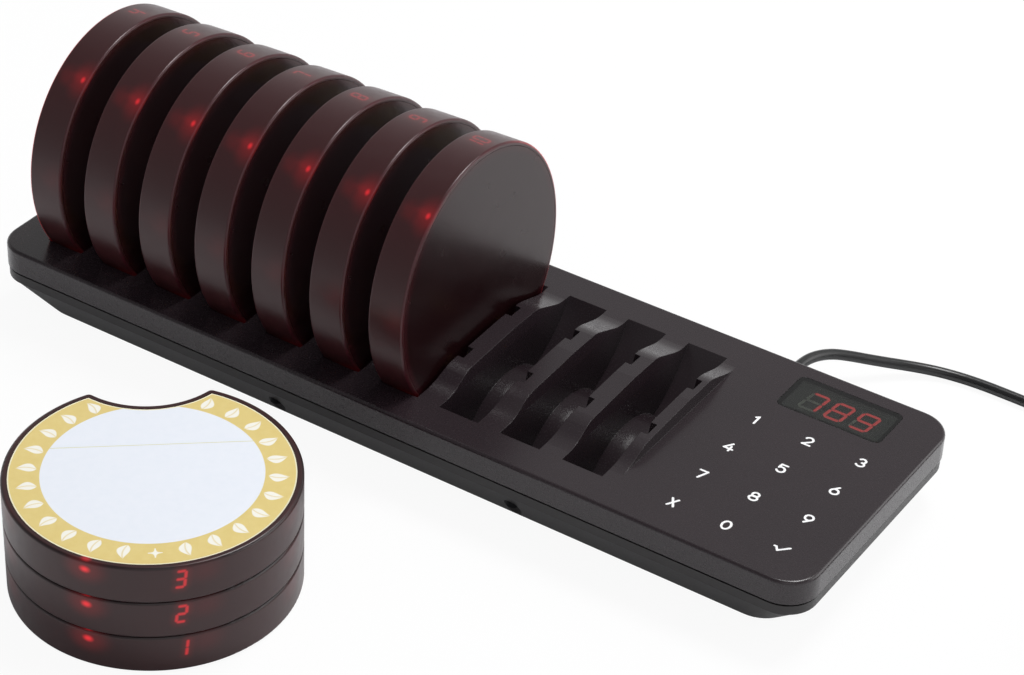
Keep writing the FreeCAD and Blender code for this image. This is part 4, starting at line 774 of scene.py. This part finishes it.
# A leaf's half width at its middle, its loss of width towards the tip, how far the tip bends aside, and
# how far the whole leaf stands aside, each as a share of its width
leaf_middle, leaf_taper, leaf_bend, leaf_aside = 0.8, 0.45, 0.35, 0.12
for number in range(1, 11):
    paper, tree, shader = finish_of("pager_%d_laminated_paper" % number, "#ECF0F7", 0.3, Coat_Weight=0.35)
    own, _, out, angle = pager_space(tree, number)
    fibre = noise(tree, own, 2.5 * MM, 5.0)
    centre = mixed(tree, fibre, linear("#E9EEF6"), linear("#F0F3FA"))
    yellow = mixed(tree, fibre, linear("#DFC678"), linear("#E7D28A"))
    in_border = ramp(tree, out, border_radius - border_blur, border_radius + border_blur)
    colour = mixed(tree, in_border, centre, yellow)
    # A leaf: the angle is wrapped to one share of the ring, counted from the foot of the face. Its
    # half width is greatest a little inside its middle, and falls to nothing at its stalk and its tip
    share = 2 * math.pi / leaf_places
    wrapped = calc(tree, "WRAP", calc(tree, "ADD", angle, math.pi / 2), share / 2, -share / 2)
    aside = calc(tree, "MULTIPLY", wrapped, leaf_radius / leaf_width)
    outward = calc(tree, "ADD", out, -leaf_radius)
    outward = calc(tree, "MULTIPLY", outward, 1 / leaf_reach)
    square = calc(tree, "MULTIPLY", outward, outward)
    belly = calc(tree, "SUBTRACT", 1.0, square)
    taper = calc(tree, "MULTIPLY_ADD", outward, -leaf_taper, leaf_middle)
    half = calc(tree, "MULTIPLY", belly, taper)
    # The tip bends aside, and a vein runs up to it
    aside = calc(tree, "MULTIPLY_ADD", square, -leaf_bend, aside)
    aside = calc(tree, "ABSOLUTE", calc(tree, "ADD", aside, leaf_aside))
    leaf = ramp(tree, calc(tree, "SUBTRACT", half, aside), 0.0, 0.12)
    vein = ramp(tree, aside, 0.05, 0.14, 0.4, 1.0)
    for inside in (vein, in_border):
        leaf = calc(tree, "MULTIPLY", leaf, inside)
    # A small four-pointed star takes the place of the leaf at the foot of the face: the product of the
    # ways east and north is small along its points
    at_foot = calc(tree, "COMPARE", angle, -math.pi / 2, share / 2)
    east = calc(tree, "MULTIPLY", wrapped, leaf_radius)
    north = calc(tree, "ADD", out, -leaf_radius)
    spread = calc(tree, "ABSOLUTE", calc(tree, "MULTIPLY", east, north))
    near = length_of(tree, add(tree, "CombineXYZ", {"X": east, "Y": north}))
    star = ramp(tree, spread, 0.5 * MM ** 2, 0.3 * MM ** 2)
    star = calc(tree, "MULTIPLY", star, calc(tree, "LESS_THAN", near, star_reach))
    ornament = add(tree, "Mix", {0: at_foot, 2: leaf, 3: star})
    colour = mixed(tree, ornament, colour, linear("#F8F5EA"))
    # The fine rule runs straight across the centre, below the notch
    up = add(tree, "SeparateXYZ", {0: own}).outputs["Y"]
    rule = calc(tree, "COMPARE", up, rule_place, rule_half)
    rule = calc(tree, "MULTIPLY", rule, calc(tree, "LESS_THAN", out, border_radius))
    colour = mixed(tree, rule, colour, linear("#DAD9B8"))
    # A pale line runs along the cut edge, round the disc and along the notch
    to_notch = add(tree, "VectorMath", {0: own, 1: (0, notch_middle, 0)}, operation="SUBTRACT")
    to_notch = add(tree, "VectorMath", {0: to_notch, 1: (1, 1, 0)}, operation="MULTIPLY")
    near_notch = calc(tree, "LESS_THAN", length_of(tree, to_notch), notch_edge + cut_width)
    near_edge = calc(tree, "GREATER_THAN", out, label_radius - cut_width)
    cut_edge = calc(tree, "MAXIMUM", near_notch, near_edge)
    colour = mixed(tree, cut_edge, colour, linear("#F4EDCC"))
    tree.links.new(colour, shader.inputs["Base Color"])
    dress("pager_%d_label" % number, paper)


# ---------------------------------------------------------------------------------------------
# Pagers: boards
# Behind each face a round board carries the cell, the vibration motor, six red lamps and the number.

module_low, module_high = 6.6 * MM, 7.8 * MM
mask_green, parts_grey = "#1F4A33", "#A9ACAE"
for number in range(1, 11):
    board, tree, shader = finish_of("pager_%d_board" % number, mask_green, 0.4, IOR=1.5)
    _, height, _, _ = pager_space(tree, number)
    over = calc(tree, "GREATER_THAN", height, module_high + mask_slack)
    under = calc(tree, "LESS_THAN", height, module_low - mask_slack)
    other = calc(tree, "MAXIMUM", over, under)
    tint = mixed(tree, other, linear(mask_green), linear(parts_grey))
    tree.links.new(tint, shader.inputs["Base Color"])
    dress("pager_%d_module" % number, board)
